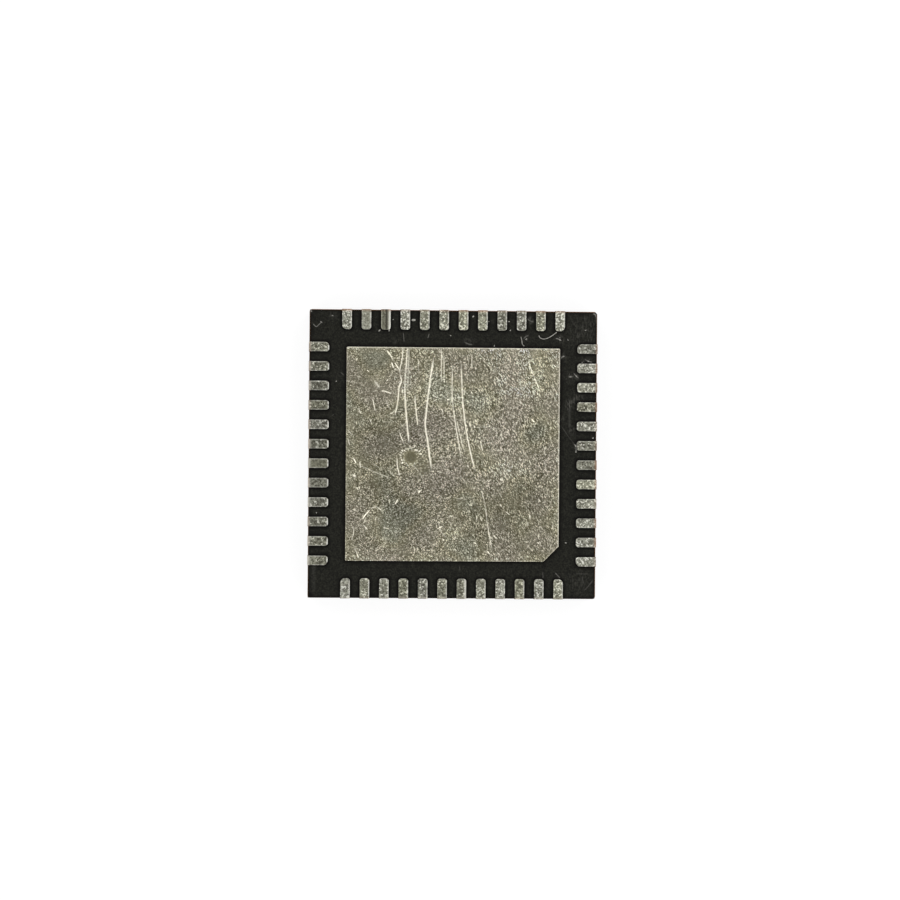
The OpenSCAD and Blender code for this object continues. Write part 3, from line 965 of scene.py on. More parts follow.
            # The scratch layer holds the scratches' fresh tin with their painted highlight, and the rim's
            # painted highlight
            bright = np.maximum(scratched(places, grooves) * self.SCRATCH_GAIN, on_rim * rim_highlight(places))
            dull = (self.DULL_END - self.mark_reach(places)) * self.DULL_SHARP
            patches = self.PATCH_GAIN * blobs(places, PAD_PATCHES)
            return {
                "scratch": np.clip(bright, 0, 1),
                "stroke": self.slanting(places),
                "mark": np.clip(dull, 0, self.DULL_MOST),
                "gain": patches + self.halo_highlight(places) + self.bands(places),
                "sparkle": blobs(places, PAD_SPARKLE),
            }

        sheet_middle = (SHEET_BOTTOM + PAD_TOP) / 2
        pad = Resurfacing("die_paddle", sheet_middle + self.KEPT_ABOVE_MIDDLE * MM, self.RIM_STEP * MM)
        grid = jittered_grid(BODY_HALF / MM, finish.grain / MM, self.GRID_SEED)
        pad.build(finish.rim_width / MM, finish.rim_drop / MM, grid, grooves, height, layers)
        piece = pad.finish("pad_tinned", tinned_pad(finish), sawn_copper(context.scene.chip_leads))
        ride(piece, "tinned_copper", "die_paddle")
        return {"FINISHED"}


class CHIP_OT_moulding(bpy.types.Operator):
    """Makes the moulding: its upper face, with a worn sawn edge and a painted shadow round the metal."""

    bl_idname = "chip.moulding"
    bl_label = "Moulding"

    SEED, GRID_SEED = 11, 5
    # Step of the rim's points, and depth of the face's roughness
    RIM_STEP, ROUGH = 0.05, 0.0006
    # Copper that the saw smeared on the edge of each side: axis, way and amount
    SMEARED = ((0, 1, 0.85), (1, 1, 0.95), (0, -1, 0.45), (1, -1, 0.15))
    EDGE_WIDTH = 0.014
    # The copper comes and goes: its middle, its swing and the size of its swells
    COPPER_MIDDLE, COPPER_SWING, COPPER_SIZE = 0.75, 0.6, 0.3
    # Size of the swells in the grey smears
    SMEAR_SIZE = 0.12

    def execute(self, context):
        finish = context.scene.chip_mould
        grooves = [Groove(*scratch) for scratch in MOULD_SCRATCHES]
        random = np.random.default_rng(self.SEED)
        half = BODY_HALF / MM

        def height(places):
            low = random.uniform(0, self.ROUGH, len(places))
            return np.maximum(low, scratched(places, grooves) * finish.groove_depth / MM)

        def layers(places, on_rim):
            edge = half - np.abs(places).max(axis=1)
            copper = np.zeros(len(places))
            for axis, way, amount in self.SMEARED:
                near = np.clip(1 - (half - places[:, axis] * way) / self.EDGE_WIDTH, 0, 1)
                waves = ripple(places, self.COPPER_SIZE, axis + way)
                swell = self.COPPER_MIDDLE + self.COPPER_SWING * waves
                copper = np.maximum(copper, amount * near * swell)
            smear = blobs(places, MOULD_SMEARS) * (1 + ripple(places, self.SMEAR_SIZE))
            return {
                "scratch": scratched(places, grooves),
                "smear": np.clip(smear, 0, 1),
                # Painted shadow along the face's inner rims, where the epoxy meets the metal
                "seam": np.where(on_rim & (edge > self.EDGE_WIDTH), 1.0, 0.0),
                "sawn_edge": np.clip(copper, 0, 1),
            }

        mould = Resurfacing("mould_body", MOULD_TOP - MICRON, self.RIM_STEP * MM)
        grid = jittered_grid(half, finish.spacing / MM, self.GRID_SEED)
        mould.build(finish.rim_width / MM, finish.rim_drop / MM, grid, grooves, height, layers)
        piece = mould.finish("moulding_epoxy", moulded_epoxy(finish), sawn_epoxy())
        ride(piece, "mould_epoxy", "mould_body")
        return {"FINISHED"}


def new_tree(name, **inputs):
    """Geometry Nodes tree with inputs of each kind, by name, and one output; and what its inputs give."""
    tree = bpy.data.node_groups.new(name, "GeometryNodeTree")
    for kind, names in inputs.items():
        for label in names:
            tree.interface.new_socket(label, in_out="INPUT", socket_type=f"NodeSocket{kind}")
    tree.interface.new_socket("Geometry", in_out="OUTPUT", socket_type="NodeSocketGeometry")
    return tree, tree.nodes.new("NodeGroupInput").outputs


def corner_steps(name, flat, past, other):
    """Steps that bend one direction of a corner's square cell, which becomes a quarter disc."""
    return (
        ("bend", "MULTIPLY", other, other),
        ("bend", "MULTIPLY_ADD", "bend", -0.5, 1.0),
        ("bend", "SQRT", "bend"),
        ("bend", "MULTIPLY", "bend", past),
        (name, "MINIMUM", name, flat),
        (name, "MULTIPLY_ADD", "bend", "radius", name),
    )


def ridge_steps(name, place, half):
    """Steps that find a soft ridge along a lead: 1 at its place across and less to both sides."""
    return (
        (name, "SUBTRACT", "x", place),
        (name, "DIVIDE", name, half),
        (name, "MULTIPLY", name, name),
        (name, "MULTIPLY", name, -1.0),
        (name, "EXPONENT", name),
    )


def near_steps(name, distance, reach):
    """Steps that find how near a place is: 1 at no distance and 0 from a reach in millimetres on."""
    return (
        (name, "DIVIDE", distance, reach * MM),
        (name, "SUBTRACT", 1.0, name),
    )


def lead_tree():
    """Geometry Nodes tree of one lead: a block whose layers become tongue, sides, rim and face."""
    sizes = (
        "Width", "Length", "Tongue", "Thickness", "Half Etch", "Left Radius", "Right Radius", "Rim Width",
        "Rim Drop", "Grain Density", "Grain Depth", "Channel Depth", "Channel Width", "Channel Place",
        "Second Place", "Turn", "Tone", "Sparkle", "Warm", "Left Rim", "Right Rim", "Tip Rim", "Burr",
        "Bare Copper", "Dirt", "Streak", "Streak Place", "Streak Half", "Seed",
    )
    tree, given = new_tree("Tinned lead", Float=sizes, Vector=["Place"], Material=["Plating", "Cut"])

    # A unit block of six layers, with a fine grid on the face: from the bottom up the floor, the top of the
    # tongue, the foot of the sides and three that round the rim
    block = add(tree, "GeometryNodeMeshCube", {"Vertices X": 17, "Vertices Y": 33, "Vertices Z": 6})
    unit = add(tree, "GeometryNodeInputPosition")
    spot = add(tree, "ShaderNodeCombineXYZ", {0: given["Width"], 1: given["Length"]})
    spot = add(tree, "ShaderNodeVectorMath", {0: spot, 1: unit}, operation="MULTIPLY")
    grain = {"Vector": spot, "W": given["Seed"], "Scale": given["Grain Density"], "Detail": 2.0}
    known = {name: given[name] for name in sizes}
    known["grain"] = add(tree, "ShaderNodeTexNoise", grain, noise_dimensions="4D")
    axes = add(tree, "ShaderNodeSeparateXYZ", {0: unit}).outputs
    known.update(zip(("unit x", "unit y", "unit z"), axes))

    # Each step: what it finds, the operation and its values
    steps = (
        ("layer", "MULTIPLY_ADD", "unit z", 5.0, 2.5),
        ("layer", "ROUND", "layer"),
        ("in tongue", "LESS_THAN", "layer", 1.5),
        ("off floor", "GREATER_THAN", "layer", 0.5),
        ("upper", "GREATER_THAN", "layer", 2.5),
        ("on face", "GREATER_THAN", "layer", 4.5),
        # The top three layers turn through a quarter circle, which rounds the rim
        ("turned", "MULTIPLY_ADD", "layer", 0.5, -1.5),
        ("angle", "MULTIPLY", "turned", math.pi / 2),
        ("inset", "COSINE", "angle"),
        ("inset", "SUBTRACT", 1.0, "inset"),
        ("inset", "MULTIPLY", "inset", "Rim Width"),
        ("drop", "SINE", "angle"),
        ("drop", "SUBTRACT", 1.0, "drop"),
        ("drop", "MULTIPLY", "drop", "Rim Drop"),
        # Height of each layer
        ("rise", "SUBTRACT", "Thickness", "Half Etch"),
        ("rise", "SUBTRACT", "rise", "drop"),
        ("rise", "MULTIPLY", "rise", "upper"),
        ("height", "MULTIPLY_ADD", "Half Etch", "off floor", "rise"),
        # Place across the lead, and along it from the sawn end
        ("half", "MULTIPLY", "Width", 0.5),
        ("half", "SUBTRACT", "half", "inset"),
        ("reach", "MULTIPLY_ADD", "Tongue", "in tongue", "Length"),
        ("reach", "SUBTRACT", "reach", "inset"),
        ("across", "ABSOLUTE", "unit x"),
        ("across", "MULTIPLY", "across", 2.0),
        ("across", "MULTIPLY", "across", "half"),
        ("along", "ADD", "unit y", 0.5),
        ("along", "MULTIPLY", "along", "reach"),
        # Each inner corner is rounded
        ("right", "GREATER_THAN", "unit x", 0.0),
        ("radius", "SUBTRACT", "Right Radius", "Left Radius"),
        ("radius", "MULTIPLY_ADD", "radius", "right", "Left Radius"),
        ("radius", "SUBTRACT", "radius", "inset"),
        ("half flat", "SUBTRACT", "half", "radius"),
        ("reach flat", "SUBTRACT", "reach", "radius"),
        ("past side", "SUBTRACT", "across", "half flat"),
        ("past side", "DIVIDE", "past side", "radius"),
        ("past end", "SUBTRACT", "along", "reach flat"),
        ("past end", "DIVIDE", "past end", "radius"),
        *corner_steps("across", "half flat", "past side", "past end"),
        *corner_steps("along", "reach flat", "past end", "past side"),
        ("way", "SIGN", "unit x"),
        ("x", "MULTIPLY", "across", "way"),
        # The grain, and the two channels that some leads have
        *ridge_steps("channel", "Channel Place", "Channel Width"),
        *ridge_steps("second", "Second Place", "Channel Width"),
        ("second", "MULTIPLY", "second", SECOND_CHANNEL),
        ("channel", "MAXIMUM", "channel", "second"),
        ("dip", "MULTIPLY", "grain", "Grain Depth"),
        ("dip", "MULTIPLY_ADD", "channel", "Channel Depth", "dip"),
        ("dip", "MULTIPLY", "dip", "on face"),
        ("height", "SUBTRACT", "height", "dip"),
        # The rim of each side and of the tip, rubbed and with a painted highlight, more or less from place
        # to place
        ("by side", "SUBTRACT", "half", "across"),
        *near_steps("by side", "by side", LEAD_RIM_REACH),
        ("rim", "SUBTRACT", "Right Rim", "Left Rim"),
        ("rim", "MULTIPLY_ADD", "rim", "right", "Left Rim"),
        ("rim", "MULTIPLY", "rim", "by side"),
        ("by tip", "SUBTRACT", "reach", "along"),
        *near_steps("by tip", "by tip", LEAD_RIM_REACH),
        ("tip", "MULTIPLY", "by tip", "Tip Rim"),
        ("rim", "MAXIMUM", "rim", "tip"),
        ("rub", "MULTIPLY_ADD", "grain", RUB_SWING, RUB_START),
        ("rim", "MULTIPLY", "rim", "rub"),
        # The burr that the saw rubbed bright, and the streak of a dished lead
        *near_steps("by cut", "along", LEAD_BURR_REACH),
        ("burr", "MULTIPLY", "by cut", "Burr"),
        ("rim", "MAXIMUM", "rim", "burr"),
        *ridge_steps("streak", "Streak Place", "Streak Half"),
        ("streak", "MULTIPLY", "streak", "Streak"),
        ("rim", "MAXIMUM", "rim", "streak"),
        # Bare copper next to the cut, dirt in the channels, and the sides darker towards the bottom
        *near_steps("bare", "along", LEAD_BARE_REACH),
        ("bare", "MULTIPLY", "bare", "Bare Copper"),
        ("dirt", "MULTIPLY", "channel", "on face"),
        ("dirt", "MULTIPLY", "dirt", "Dirt"),
        ("low", "MULTIPLY_ADD", "layer", -SIDE_DARKENING, 5.0 * SIDE_DARKENING),
        ("clean", "SUBTRACT", 1.0, "rim"),
        ("low", "MULTIPLY", "low", "clean"),
        ("dirt", "MAXIMUM", "dirt", "low"),
    )
    # What is found as a share, from 0 to 1
    shares = {
        "turned", "past side", "past end", "by side", "by tip", "by cut", "rub", "bare", "low", "clean",
    }
    for name, operation, *values in steps:
        inputs = {i: known[value] if isinstance(value, str) else value for i, value in enumerate(values)}
        known[name] = add(tree, "ShaderNodeMath", inputs, operation=operation, use_clamp=name in shares)

    # What the materials read is stored while the block is still a unit block
    stored = {
        "tone": "Tone", "sparkle": "Sparkle", "warm": "Warm", "rim": "rim", "bare": "bare", "dirt": "dirt",
        "from_cut": "along",
    }
    for name, value in stored.items():
        layer = {"Geometry": block, "Name": name, "Value": known[value]}
        block = add(tree, "GeometryNodeStoreNamedAttribute", layer, data_type="FLOAT", domain="POINT")
    place = add(tree, "ShaderNodeCombineXYZ", {0: known["x"], 1: known["along"], 2: known["height"]})
    shape = add(tree, "GeometryNodeSetPosition", {"Geometry": block, "Position": place})
    shape = add(tree, "GeometryNodeMergeByDistance", {"Geometry": shape, "Distance": LEAD_MERGE})
    turn = add(tree, "ShaderNodeCombineXYZ", {2: given["Turn"]})
    moved = {"Geometry": shape, "Translation": given["Place"], "Rotation": turn}
    shape = add(tree, "GeometryNodeTransform", moved)
    shape = add(tree, "GeometryNodeRealizeInstances", {"Geometry": shape})
    shape = add(tree, "GeometryNodeSetMaterial", {"Geometry": shape, "Material": given["Plating"]})
    at_cut = add(tree, "GeometryNodeInputNamedAttribute", {"Name": "from_cut"}, data_type="FLOAT")
    at_cut = add(tree, "ShaderNodeMath", {0: at_cut, 1: SAME}, operation="LESS_THAN")
    sawn = {"Geometry": shape, "Selection": at_cut, "Material": given["Cut"]}
    add(tree, "NodeGroupOutput", {"Geometry": add(tree, "GeometryNodeSetMaterial", sawn)})
    return tree


def speck_tree():
    """Geometry Nodes tree of the dust: a flattened, turned speck on each point."""
    floats = ["Breadth", "Thickness", "Ragged Density", "Ragged Depth"]
    tree, given = new_tree("Dust specks", Geometry=["Geometry"], Float=floats, Material=["Dust"])
    speck = add(tree, "GeometryNodeMeshIcoSphere", {"Radius": 1.0, "Subdivisions": 2})
    turn = add(tree, "GeometryNodeInputNamedAttribute", {"Name": "turn"}, data_type="FLOAT")
    turn = add(tree, "ShaderNodeCombineXYZ", {2: turn})
    size = add(tree, "GeometryNodeInputNamedAttribute", {"Name": "size"}, data_type="FLOAT")
    form = add(tree, "ShaderNodeCombineXYZ", {0: 1.0, 1: given["Breadth"], 2: given["Thickness"]})
    form = add(tree, "ShaderNodeVectorMath", {0: form, "Scale": size}, operation="SCALE")
    laid = {"Points": given["Geometry"], "Instance": speck, "Rotation": turn, "Scale": form}
    shape = add(tree, "GeometryNodeInstanceOnPoints", laid)
    shape = add(tree, "GeometryNodeRealizeInstances", {"Geometry": shape})
    # The outline is pushed about in the plane, so that the specks are ragged
    place = add(tree, "GeometryNodeInputPosition")
    ragged = {"Vector": place, "Scale": given["Ragged Density"], "Detail": 1.0}
    ragged = add(tree, "ShaderNodeTexNoise", ragged).outputs["Color"]
    ragged = add(tree, "ShaderNodeVectorMath", {0: ragged, 1: (0.5, 0.5, 0.5)}, operation="SUBTRACT")
    depth = add(tree, "ShaderNodeCombineXYZ", {0: given["Ragged Depth"], 1: given["Ragged Depth"]})
    ragged = add(tree, "ShaderNodeVectorMath", {0: ragged, 1: depth}, operation="MULTIPLY")
    shape = add(tree, "GeometryNodeSetPosition", {"Geometry": shape, "Offset": ragged})
    shape = add(tree, "GeometryNodeSetMaterial", {"Geometry": shape, "Material": given["Dust"]})
    add(tree, "NodeGroupOutput", {"Geometry": shape})
    return tree


def fibre_tree():
    """Geometry Nodes tree of the lint: a round thread along each line."""
    tree, given = new_tree("Lint fibres", Geometry=["Geometry"], Material=["Dust"])
    line = add(tree, "GeometryNodeMeshToCurve", {"Mesh": given["Geometry"]})
    ring = add(tree, "GeometryNodeCurvePrimitiveCircle", {"Resolution": 8, "Radius": 1.0})
    size = add(tree, "GeometryNodeInputNamedAttribute", {"Name": "size"}, data_type="FLOAT")
    thread = {"Curve": line, "Profile Curve": ring, "Scale": size, "Fill Caps": True}
    shape = add(tree, "GeometryNodeCurveToMesh", thread)
    shape = add(tree, "GeometryNodeRealizeInstances", {"Geometry": shape})
    shape = add(tree, "GeometryNodeSetMaterial", {"Geometry": shape, "Material": given["Dust"]})
    add(tree, "NodeGroupOutput", {"Geometry": shape})
    return tree


# Edges of the pieces from trees that turn by more, in degrees, stay sharp
GROWN_CREASE = 40


def grown(name, tree, values, mesh=None):
    """Plain mesh object that a tree makes from its named inputs, and from a mesh where it takes one."""
    start = mesh or bpy.data.meshes.new(name)
    piece = in_scene(name, start)
    modifier = piece.modifiers.new("Shape", "NODES")
    modifier.node_group = tree
    sockets = {item.name: item.identifier for item in tree.interface.items_tree if item.in_out == "INPUT"}
    for key, value in values.items():
        modifier[sockets[key]] = value
    graph = bpy.context.evaluated_depsgraph_get()
    made = bpy.data.meshes.new_from_object(
        piece.evaluated_get(graph), preserve_all_data_layers=True, depsgraph=graph
    )
    piece.modifiers.remove(modifier)
    piece.data = made
    bpy.data.meshes.remove(start)
    made.name = name
    smooth(made, GROWN_CREASE)
    return piece


class CHIP_OT_leads(bpy.types.Operator):
    """Makes the leads: tinned faces with a soft rim, and bare copper where the saw cut them."""

    bl_idname = "chip.leads"
    bl_label = "Leads"

    SEED = 21
    # The four sides in the order of the numbers: outward direction, usual tone with a painted sheen
    # (darkest on the left), bare copper, burr and rim
    SIDES = (
        ((0, -1), 0.92, 0.15, 0.27, 0.10),
        ((-1, 0), 0.66, 0.30, 0.65, 0.40),
        ((0, 1), 1.07, 0.60, 0.03, 0.20),
        ((1, 0), 1.03, 0.50, 0.03, 0.25),
    )
    PER_SIDE = len(LEADS) // len(SIDES)
    # How much of its side's burr and bare copper a lead has, from least to most
    BURR_SHARE, BARE_SHARE = (0.6, 1.4), (0.5, 1.5)
    # Leads that are dished along their length, in millimetres: depth, the two channels' places and their
    # dirt, then place and strength of the rubbed streak beside them
    DISHED = {
        "lead_27": (0.004, -0.010, 0.056, 1.0, -0.078, 1.0),
        "lead_06": (0.003, -0.020, -0.020, 0.4, 0.082, 0.9),
    }
    CHANNEL_WIDTH, STREAK_HALF = 0.033, 0.026
    # Leads whose grain shows less or more than usual, by the amount of painted sparkle
    GRAIN = {
        -0.3: (18, 26, 27),
        0.0: (3, 13, 17, 25, 48),
        0.7: (30, 33, 40),
        0.9: (8, 9, 14, 15, 16, 20, 21, 22, 23),
        1.3: (19, 24),
    }
    GRAIN_USUAL, GRAIN_SPREAD, WARM_MOST = 0.30, 0.12, 0.35
    # Leads that are lighter or darker than the rest of their side, by tone
    OWN_TONES = {
        1.20: (13, 24),
        1.10: (1, 4, 12, 36, 44),
        1.00: (5, 10, 11, 20, 21, 22, 23, 25, 26, 28, 30, 31, 32, 38, 39, 41, 48),
        0.87: (7, 8, 17, 18, 29, 34, 35),
        0.75: (9, 19, 33, 37, 40, 42, 43),
    }
    TONE_SPREAD = 0.07
    # Painted highlight: rims that face the right are brightest
    HIGHLIGHT_WAY = Vector((0.95, 0.15, 0))
    SIDE_BRIGHT, TIP_BRIGHT = 1.00, 2.00

    def own_value(self, groups, number, usual):
        """Value of the group that a lead's number is in, or else the usual one."""
        return next((value for value, numbers in groups.items() if number in numbers), usual)

    def rim_with_highlight(self, way, usual, brightest):
        """How bright the rim that faces one way is: rubbed tin, and a painted highlight the more it faces
        the right.
        """
        return usual + brightest * max(way.dot(self.HIGHLIGHT_WAY), 0)

    def solid_of(self, name, outward):
        """Place of the middle of a lead's sawn end, on its floor, and the lead's sizes, from its solid."""
        low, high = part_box(name)
        middle, size = (low + high) / 2, high - low
        along = abs(size.dot(outward))
        place = middle + outward * along / 2
        place.z = low.z
        points = [vert.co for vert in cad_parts[name].data.vertices]
        face = max((place - p).dot(outward) for p in points if p.z > high.z - SAME)
        return {
            "Width": size.x + size.y - along,
            "Length": face,
            "Tongue": along - face,
            "Thickness": size.z,
            "Half Etch": sorted({round(p.z - low.z, 7) for p in points})[1],
            "Place": place,
        }

    def channels_of(self, name):
        """Channels, dirt and streak of a lead, which are nothing unless it is dished."""
        depth, channel, second, dirt, streak_place, streak = self.DISHED.get(name, (0.0,) * 6)
        return {
            "Channel Depth": depth * MM,
            "Channel Width": self.CHANNEL_WIDTH * MM,
            "Channel Place": channel * MM,
            "Second Place": second * MM,
            "Dirt": dirt,
            "Streak": streak,
            "Streak Place": streak_place * MM,
            "Streak Half": self.STREAK_HALF * MM,
        }

    def look_of(self, number, side, random):
        """Tone with its painted sheen, grain, burr, bare copper and rims of a lead."""
        (out_x, out_y), tone, bare, burr, rim = side
        outward = Vector((out_x, out_y, 0))
        right = Vector((-out_y, out_x, 0))
        grain = random.normal(self.GRAIN_USUAL, self.GRAIN_SPREAD)
        tone *= self.own_value(self.OWN_TONES, number, random.normal(1, self.TONE_SPREAD))
        return {
            "Tone": tone,
            "Sparkle": self.own_value(self.GRAIN, number, grain),
            "Warm": random.uniform(0, self.WARM_MOST),
            "Burr": burr * random.uniform(*self.BURR_SHARE),
            "Bare Copper": bare * random.uniform(*self.BARE_SHARE),
            "Left Rim": self.rim_with_highlight(-right, rim, self.SIDE_BRIGHT),
            "Right Rim": self.rim_with_highlight(right, rim, self.SIDE_BRIGHT),
            "Tip Rim": self.rim_with_highlight(-outward, rim, self.TIP_BRIGHT),
        }

    def execute(self, context):
        finish = context.scene.chip_leads
        tree = lead_tree()
        plating = tinned_lead(finish)
        copper = sawn_copper(finish)
        random = np.random.default_rng(self.SEED)
        corner_radius = finish.corner_radius - MICRON
        for i, name in enumerate(LEADS):
            turn, place_in_row = divmod(i, self.PER_SIDE)
            side = self.SIDES[turn]
            values = {
                **self.solid_of(name, Vector((*side[0], 0))),
                **self.channels_of(name),
                **self.look_of(i + 1, side, random),
                "Left Radius": corner_radius if place_in_row == self.PER_SIDE - 1 else finish.inner_radius,
                "Right Radius": corner_radius if place_in_row == 0 else finish.inner_radius,
                "Rim Width": finish.rim_width,
                "Rim Drop": finish.rim_drop,
                "Grain Density": 1 / finish.grain,
                "Grain Depth": finish.grain_depth,
                "Turn": -math.pi / 2 * turn,
                "Seed": float(i),
                "Plating": plating,
                "Cut": copper,
            }
            ride(grown(f"{name}_tinned", tree, values), "tinned_copper", name)
        return {"FINISHED"}


class CHIP_OT_inside(bpy.types.Operator):
    """Gives the die, its glue and the wires, which the moulding hides, their materials."""

    bl_idname = "chip.inside"
    bl_label = "Inside"

    def execute(self, context):
        finishes = {
            # Polished silicon: a dark blue-grey mirror
            "die": two_toned("polished_silicon", 0.4, "#3C434C", "#565F6B", 0.9, 0.2),
            # Glue full of silver flakes: a matt light grey with a glitter
            "die_attach": two_toned("silver_epoxy", 0.02, "#8D8C88", "#C9C8C3", 0.8, 0.5),
            # Drawn gold: a warm yellow, smooth along the wire
            "bond_wires": two_toned("drawn_gold", 0.05, "#CFA046", "#EFCB7A", 1.0, 0.25),
        }
        for node, material in finishes.items():
            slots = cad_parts[node].material_slots
            if not slots:
                raise RuntimeError(f"{node} has no material slot")
            for slot in slots:
                slot.material = material
        return {"FINISHED"}


class CHIP_OT_dust(bpy.types.Operator):
    """Lays specks of dust and fibres of lint on the moulding."""

    bl_idname = "chip.dust"
    bl_label = "Dust and lint"

    # Breadth and thickness of a speck, as shares of its length, and size and depth of its ragged outline
    BREADTH, THICKNESS = 0.5, 0.3
    RAGGED_SIZE, RAGGED_DEPTH = 0.016, 0.03
    # Step of a fibre's points, and height of its middle above the moulding in its radii
    STEP, LIFT = 0.03, 0.6

    def base_mesh(self, name, points, edges, **layers):
        """Points and lines for a tree, with named values for each point."""
        mesh = bpy.data.meshes.new(name)
        mesh.from_pydata(points, edges, [])
        for layer, values in layers.items():
            store(mesh, layer, values)
        return mesh

    def execute(self, context):
        # House dust: pale grey fluff and skin flakes, quite matt
        dust = two_toned("house_dust", 0.02, "#6C6A64", "#B9B7AE", 0.0, 0.9, detail=2.0)
        top = MOULD_TOP / MM
        places, sizes, turns = zip(*DUST_SPECKS)
        points = [Vector((x, y, top)) * MM for x, y in places]
        sizes = [size * MM for size in sizes]
        mesh = self.base_mesh("dust_points", points, [], size=sizes, turn=np.radians(turns))
        values = {
            "Breadth": self.BREADTH,
            "Thickness": self.THICKNESS,
            "Ragged Density": 1 / (self.RAGGED_SIZE * MM),
            "Ragged Depth": self.RAGGED_DEPTH * MM,
            "Dust": dust,
        }
        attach(grown("dust_specks", speck_tree(), values, mesh), BODY)
        points, edges, sizes = [], [], []
        for radius, line in LINT_FIBRES:
            run = sketch_line(line, self.STEP)
            edges += [(len(points) + i, len(points) + i + 1) for i in range(len(run) - 1)]
            points += [Vector((x, y, top + radius * self.LIFT)) * MM for x, y in run]
            sizes += [radius * MM] * len(run)
        mesh = self.base_mesh("lint_lines", points, edges, size=sizes)
        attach(grown("lint_fibres", fibre_tree(), {"Dust": dust}, mesh), BODY)
        return {"FINISHED"}


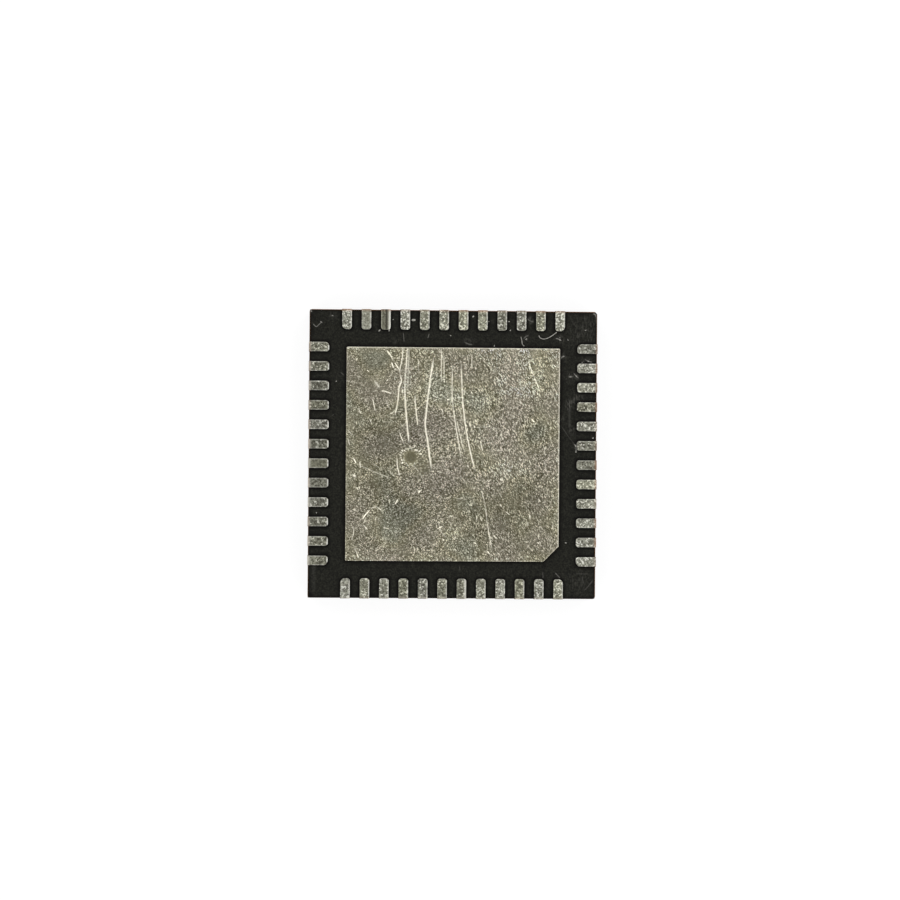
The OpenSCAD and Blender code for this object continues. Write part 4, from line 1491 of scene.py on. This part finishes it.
class CHIP_OT_stage(bpy.types.Operator):
    """Makes the white floor, the soft light and the camera."""

    bl_idname = "chip.stage"
    bl_label = "Stage"

    # Half size of the floor, its colour to the light and to the eye, and its glow to the eye
    FLOOR_HALF = 1.5
    FLOOR_PLAIN, FLOOR_SHADED, FLOOR_GLOW = 0.8, 0.2, 0.84
    # Lamps in a ring: size, distance, and height and first turn in degrees
    LAMP_COUNT = 4
    LAMP_SIZE, LAMP_REACH = 0.05, 0.10
    LAMP_HEIGHT, LAMP_TURN = 48, 45
    # Middle of the darker sky, and the angles from it at which it starts and stops to grow light
    DARK_SKY = Vector((-0.045, -0.005, 1.0)).normalized()
    DARK_TO, LIGHT_FROM = 5.0, 30.0
    # Camera: lens and sensor, nearest and farthest sight, place in millimetres and turn in degrees
    LENS, SENSOR = 100, 36
    CLIP_START, CLIP_END = 0.001, 10
    EYE = (-2.5107, 0.2587, 52.3798)
    TURN = (-0.207, -2.7255, 0.4529)

    def execute(self, context):
        scene = context.scene
        light = scene.chip_stage
        scene.view_settings.view_transform = "Standard"
        self.make_floor()
        self.make_sky(scene, light)
        for i in range(self.LAMP_COUNT):
            self.make_lamp(light.lamp, i)
        self.make_camera(scene)
        return {"FINISHED"}

    def make_floor(self):
        """A white floor that shows white to the camera and in the metal, and keeps a faint shadow."""
        h = self.FLOOR_HALF
        mesh = bpy.data.meshes.new("floor")
        mesh.from_pydata([(-h, -h, 0), (h, -h, 0), (h, h, 0), (-h, h, 0)], [], [(0, 1, 2, 3)])
        in_scene("floor", mesh)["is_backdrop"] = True
        material = bpy.data.materials.new("white_paper")
        tree = empty_tree(material)
        path = add(tree, "ShaderNodeLightPath").outputs
        seen = path["Is Camera Ray"]
        for ray in ("Is Glossy Ray", "Is Transmission Ray"):
            seen = add(tree, "ShaderNodeMath", {0: seen, 1: path[ray]}, operation="MAXIMUM")
        plain = add(tree, "ShaderNodeBsdfDiffuse", {"Color": grey(self.FLOOR_PLAIN)})
        shaded = add(tree, "ShaderNodeBsdfDiffuse", {"Color": grey(self.FLOOR_SHADED)})
        glow = add(tree, "ShaderNodeEmission", {"Color": grey(1.0), "Strength": self.FLOOR_GLOW})
        white = add(tree, "ShaderNodeAddShader", {0: shaded, 1: glow})
        mixed = add(tree, "ShaderNodeMixShader", {0: seen, 1: plain, 2: white})
        add(tree, "ShaderNodeOutputMaterial", {"Surface": mixed})
        mesh.materials.append(material)

    def make_sky(self, scene, light):
        """A soft white sky, darker straight above, where the camera is."""
        scene.world = bpy.data.worlds.new("soft_box")
        tree = empty_tree(scene.world)
        way = add(tree, "ShaderNodeTexCoord").outputs["Generated"]
        cosine = add(tree, "ShaderNodeVectorMath", {0: way, 1: self.DARK_SKY}, operation="DOT_PRODUCT")
        angle = add(tree, "ShaderNodeMath", {0: cosine.outputs["Value"]}, operation="ARCCOSINE")
        level = add(
            tree, "ShaderNodeMapRange",
            {
                "Value": angle,
                "From Min": math.radians(self.DARK_TO),
                "From Max": math.radians(self.LIGHT_FROM),
                "To Min": light.zenith,
                "To Max": light.ring,
            },
        )
        path = add(tree, "ShaderNodeLightPath").outputs
        lit = add(tree, "ShaderNodeBackground", {"Color": level})
        seen = add(tree, "ShaderNodeBackground", {"Color": grey(1.0)})
        mixed = add(tree, "ShaderNodeMixShader", {0: path["Is Camera Ray"], 1: lit, 2: seen})
        add(tree, "ShaderNodeOutputWorld", {"Surface": mixed})

    def make_lamp(self, power, i):
        """One of the soft lamps that stand around the chip."""
        lamp = bpy.data.lights.new(f"soft_lamp_{i + 1}", "AREA")
        lamp.shape = "DISK"
        lamp.size = self.LAMP_SIZE
        lamp.energy = power
        turn = math.radians(self.LAMP_TURN + 360 * i / self.LAMP_COUNT)
        rise = math.radians(self.LAMP_HEIGHT)
        away = Vector((math.cos(turn) * math.cos(rise), math.sin(turn) * math.cos(rise), math.sin(rise)))
        stand = in_scene(lamp.name, lamp)
        stand.location = away * self.LAMP_REACH
        stand.rotation_euler = away.to_track_quat("Z", "Y").to_euler()

    def make_camera(self, scene):
        """The camera, almost straight above."""
        camera = bpy.data.cameras.new("camera")
        camera.lens = self.LENS
        camera.sensor_width = self.SENSOR
        camera.clip_start = self.CLIP_START
        camera.clip_end = self.CLIP_END
        stand = in_scene("camera", camera)
        stand.location = Vector(self.EYE) * MM
        stand.rotation_euler = Euler([math.radians(a) for a in self.TURN])
        scene.camera = stand


class CHIP_PT_panel(bpy.types.Panel):
    """Lists the steps that dress the chip."""

    bl_idname = "CHIP_PT_panel"
    bl_label = "Chip"
    bl_space_type = "VIEW_3D"
    bl_region_type = "UI"
    bl_category = "Chip"

    def draw(self, context):
        for step in STEPS:
            self.layout.operator(step.bl_idname)


GROUPS = {
    "chip_pad": ChipPadFinish,
    "chip_leads": ChipLeadFinish,
    "chip_mould": ChipMouldFinish,
    "chip_stage": ChipStageLight,
}
STEPS = (CHIP_OT_moulding, CHIP_OT_pad, CHIP_OT_leads, CHIP_OT_inside, CHIP_OT_dust, CHIP_OT_stage)


def register():
    for group in GROUPS.values():
        bpy.utils.register_class(group)
    for name, group in GROUPS.items():
        setattr(bpy.types.Scene, name, bpy.props.PointerProperty(type=group))
    for step in (*STEPS, CHIP_PT_panel):
        bpy.utils.register_class(step)


def unregister():
    for step in (CHIP_PT_panel, *reversed(STEPS)):
        bpy.utils.unregister_class(step)
    for name, group in GROUPS.items():
        delattr(bpy.types.Scene, name)
        bpy.utils.unregister_class(group)


def main():
    register()
    bpy.ops.chip.moulding()
    bpy.ops.chip.pad()
    bpy.ops.chip.leads()
    bpy.ops.chip.inside()
    bpy.ops.chip.dust()
    bpy.ops.chip.stage()
    boxes = {"cad": CAD_BOX, "visual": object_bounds()}
    {name: [list(corner) for corner in box] for name, box in boxes.items()}


if __name__ == "__main__":
    main()
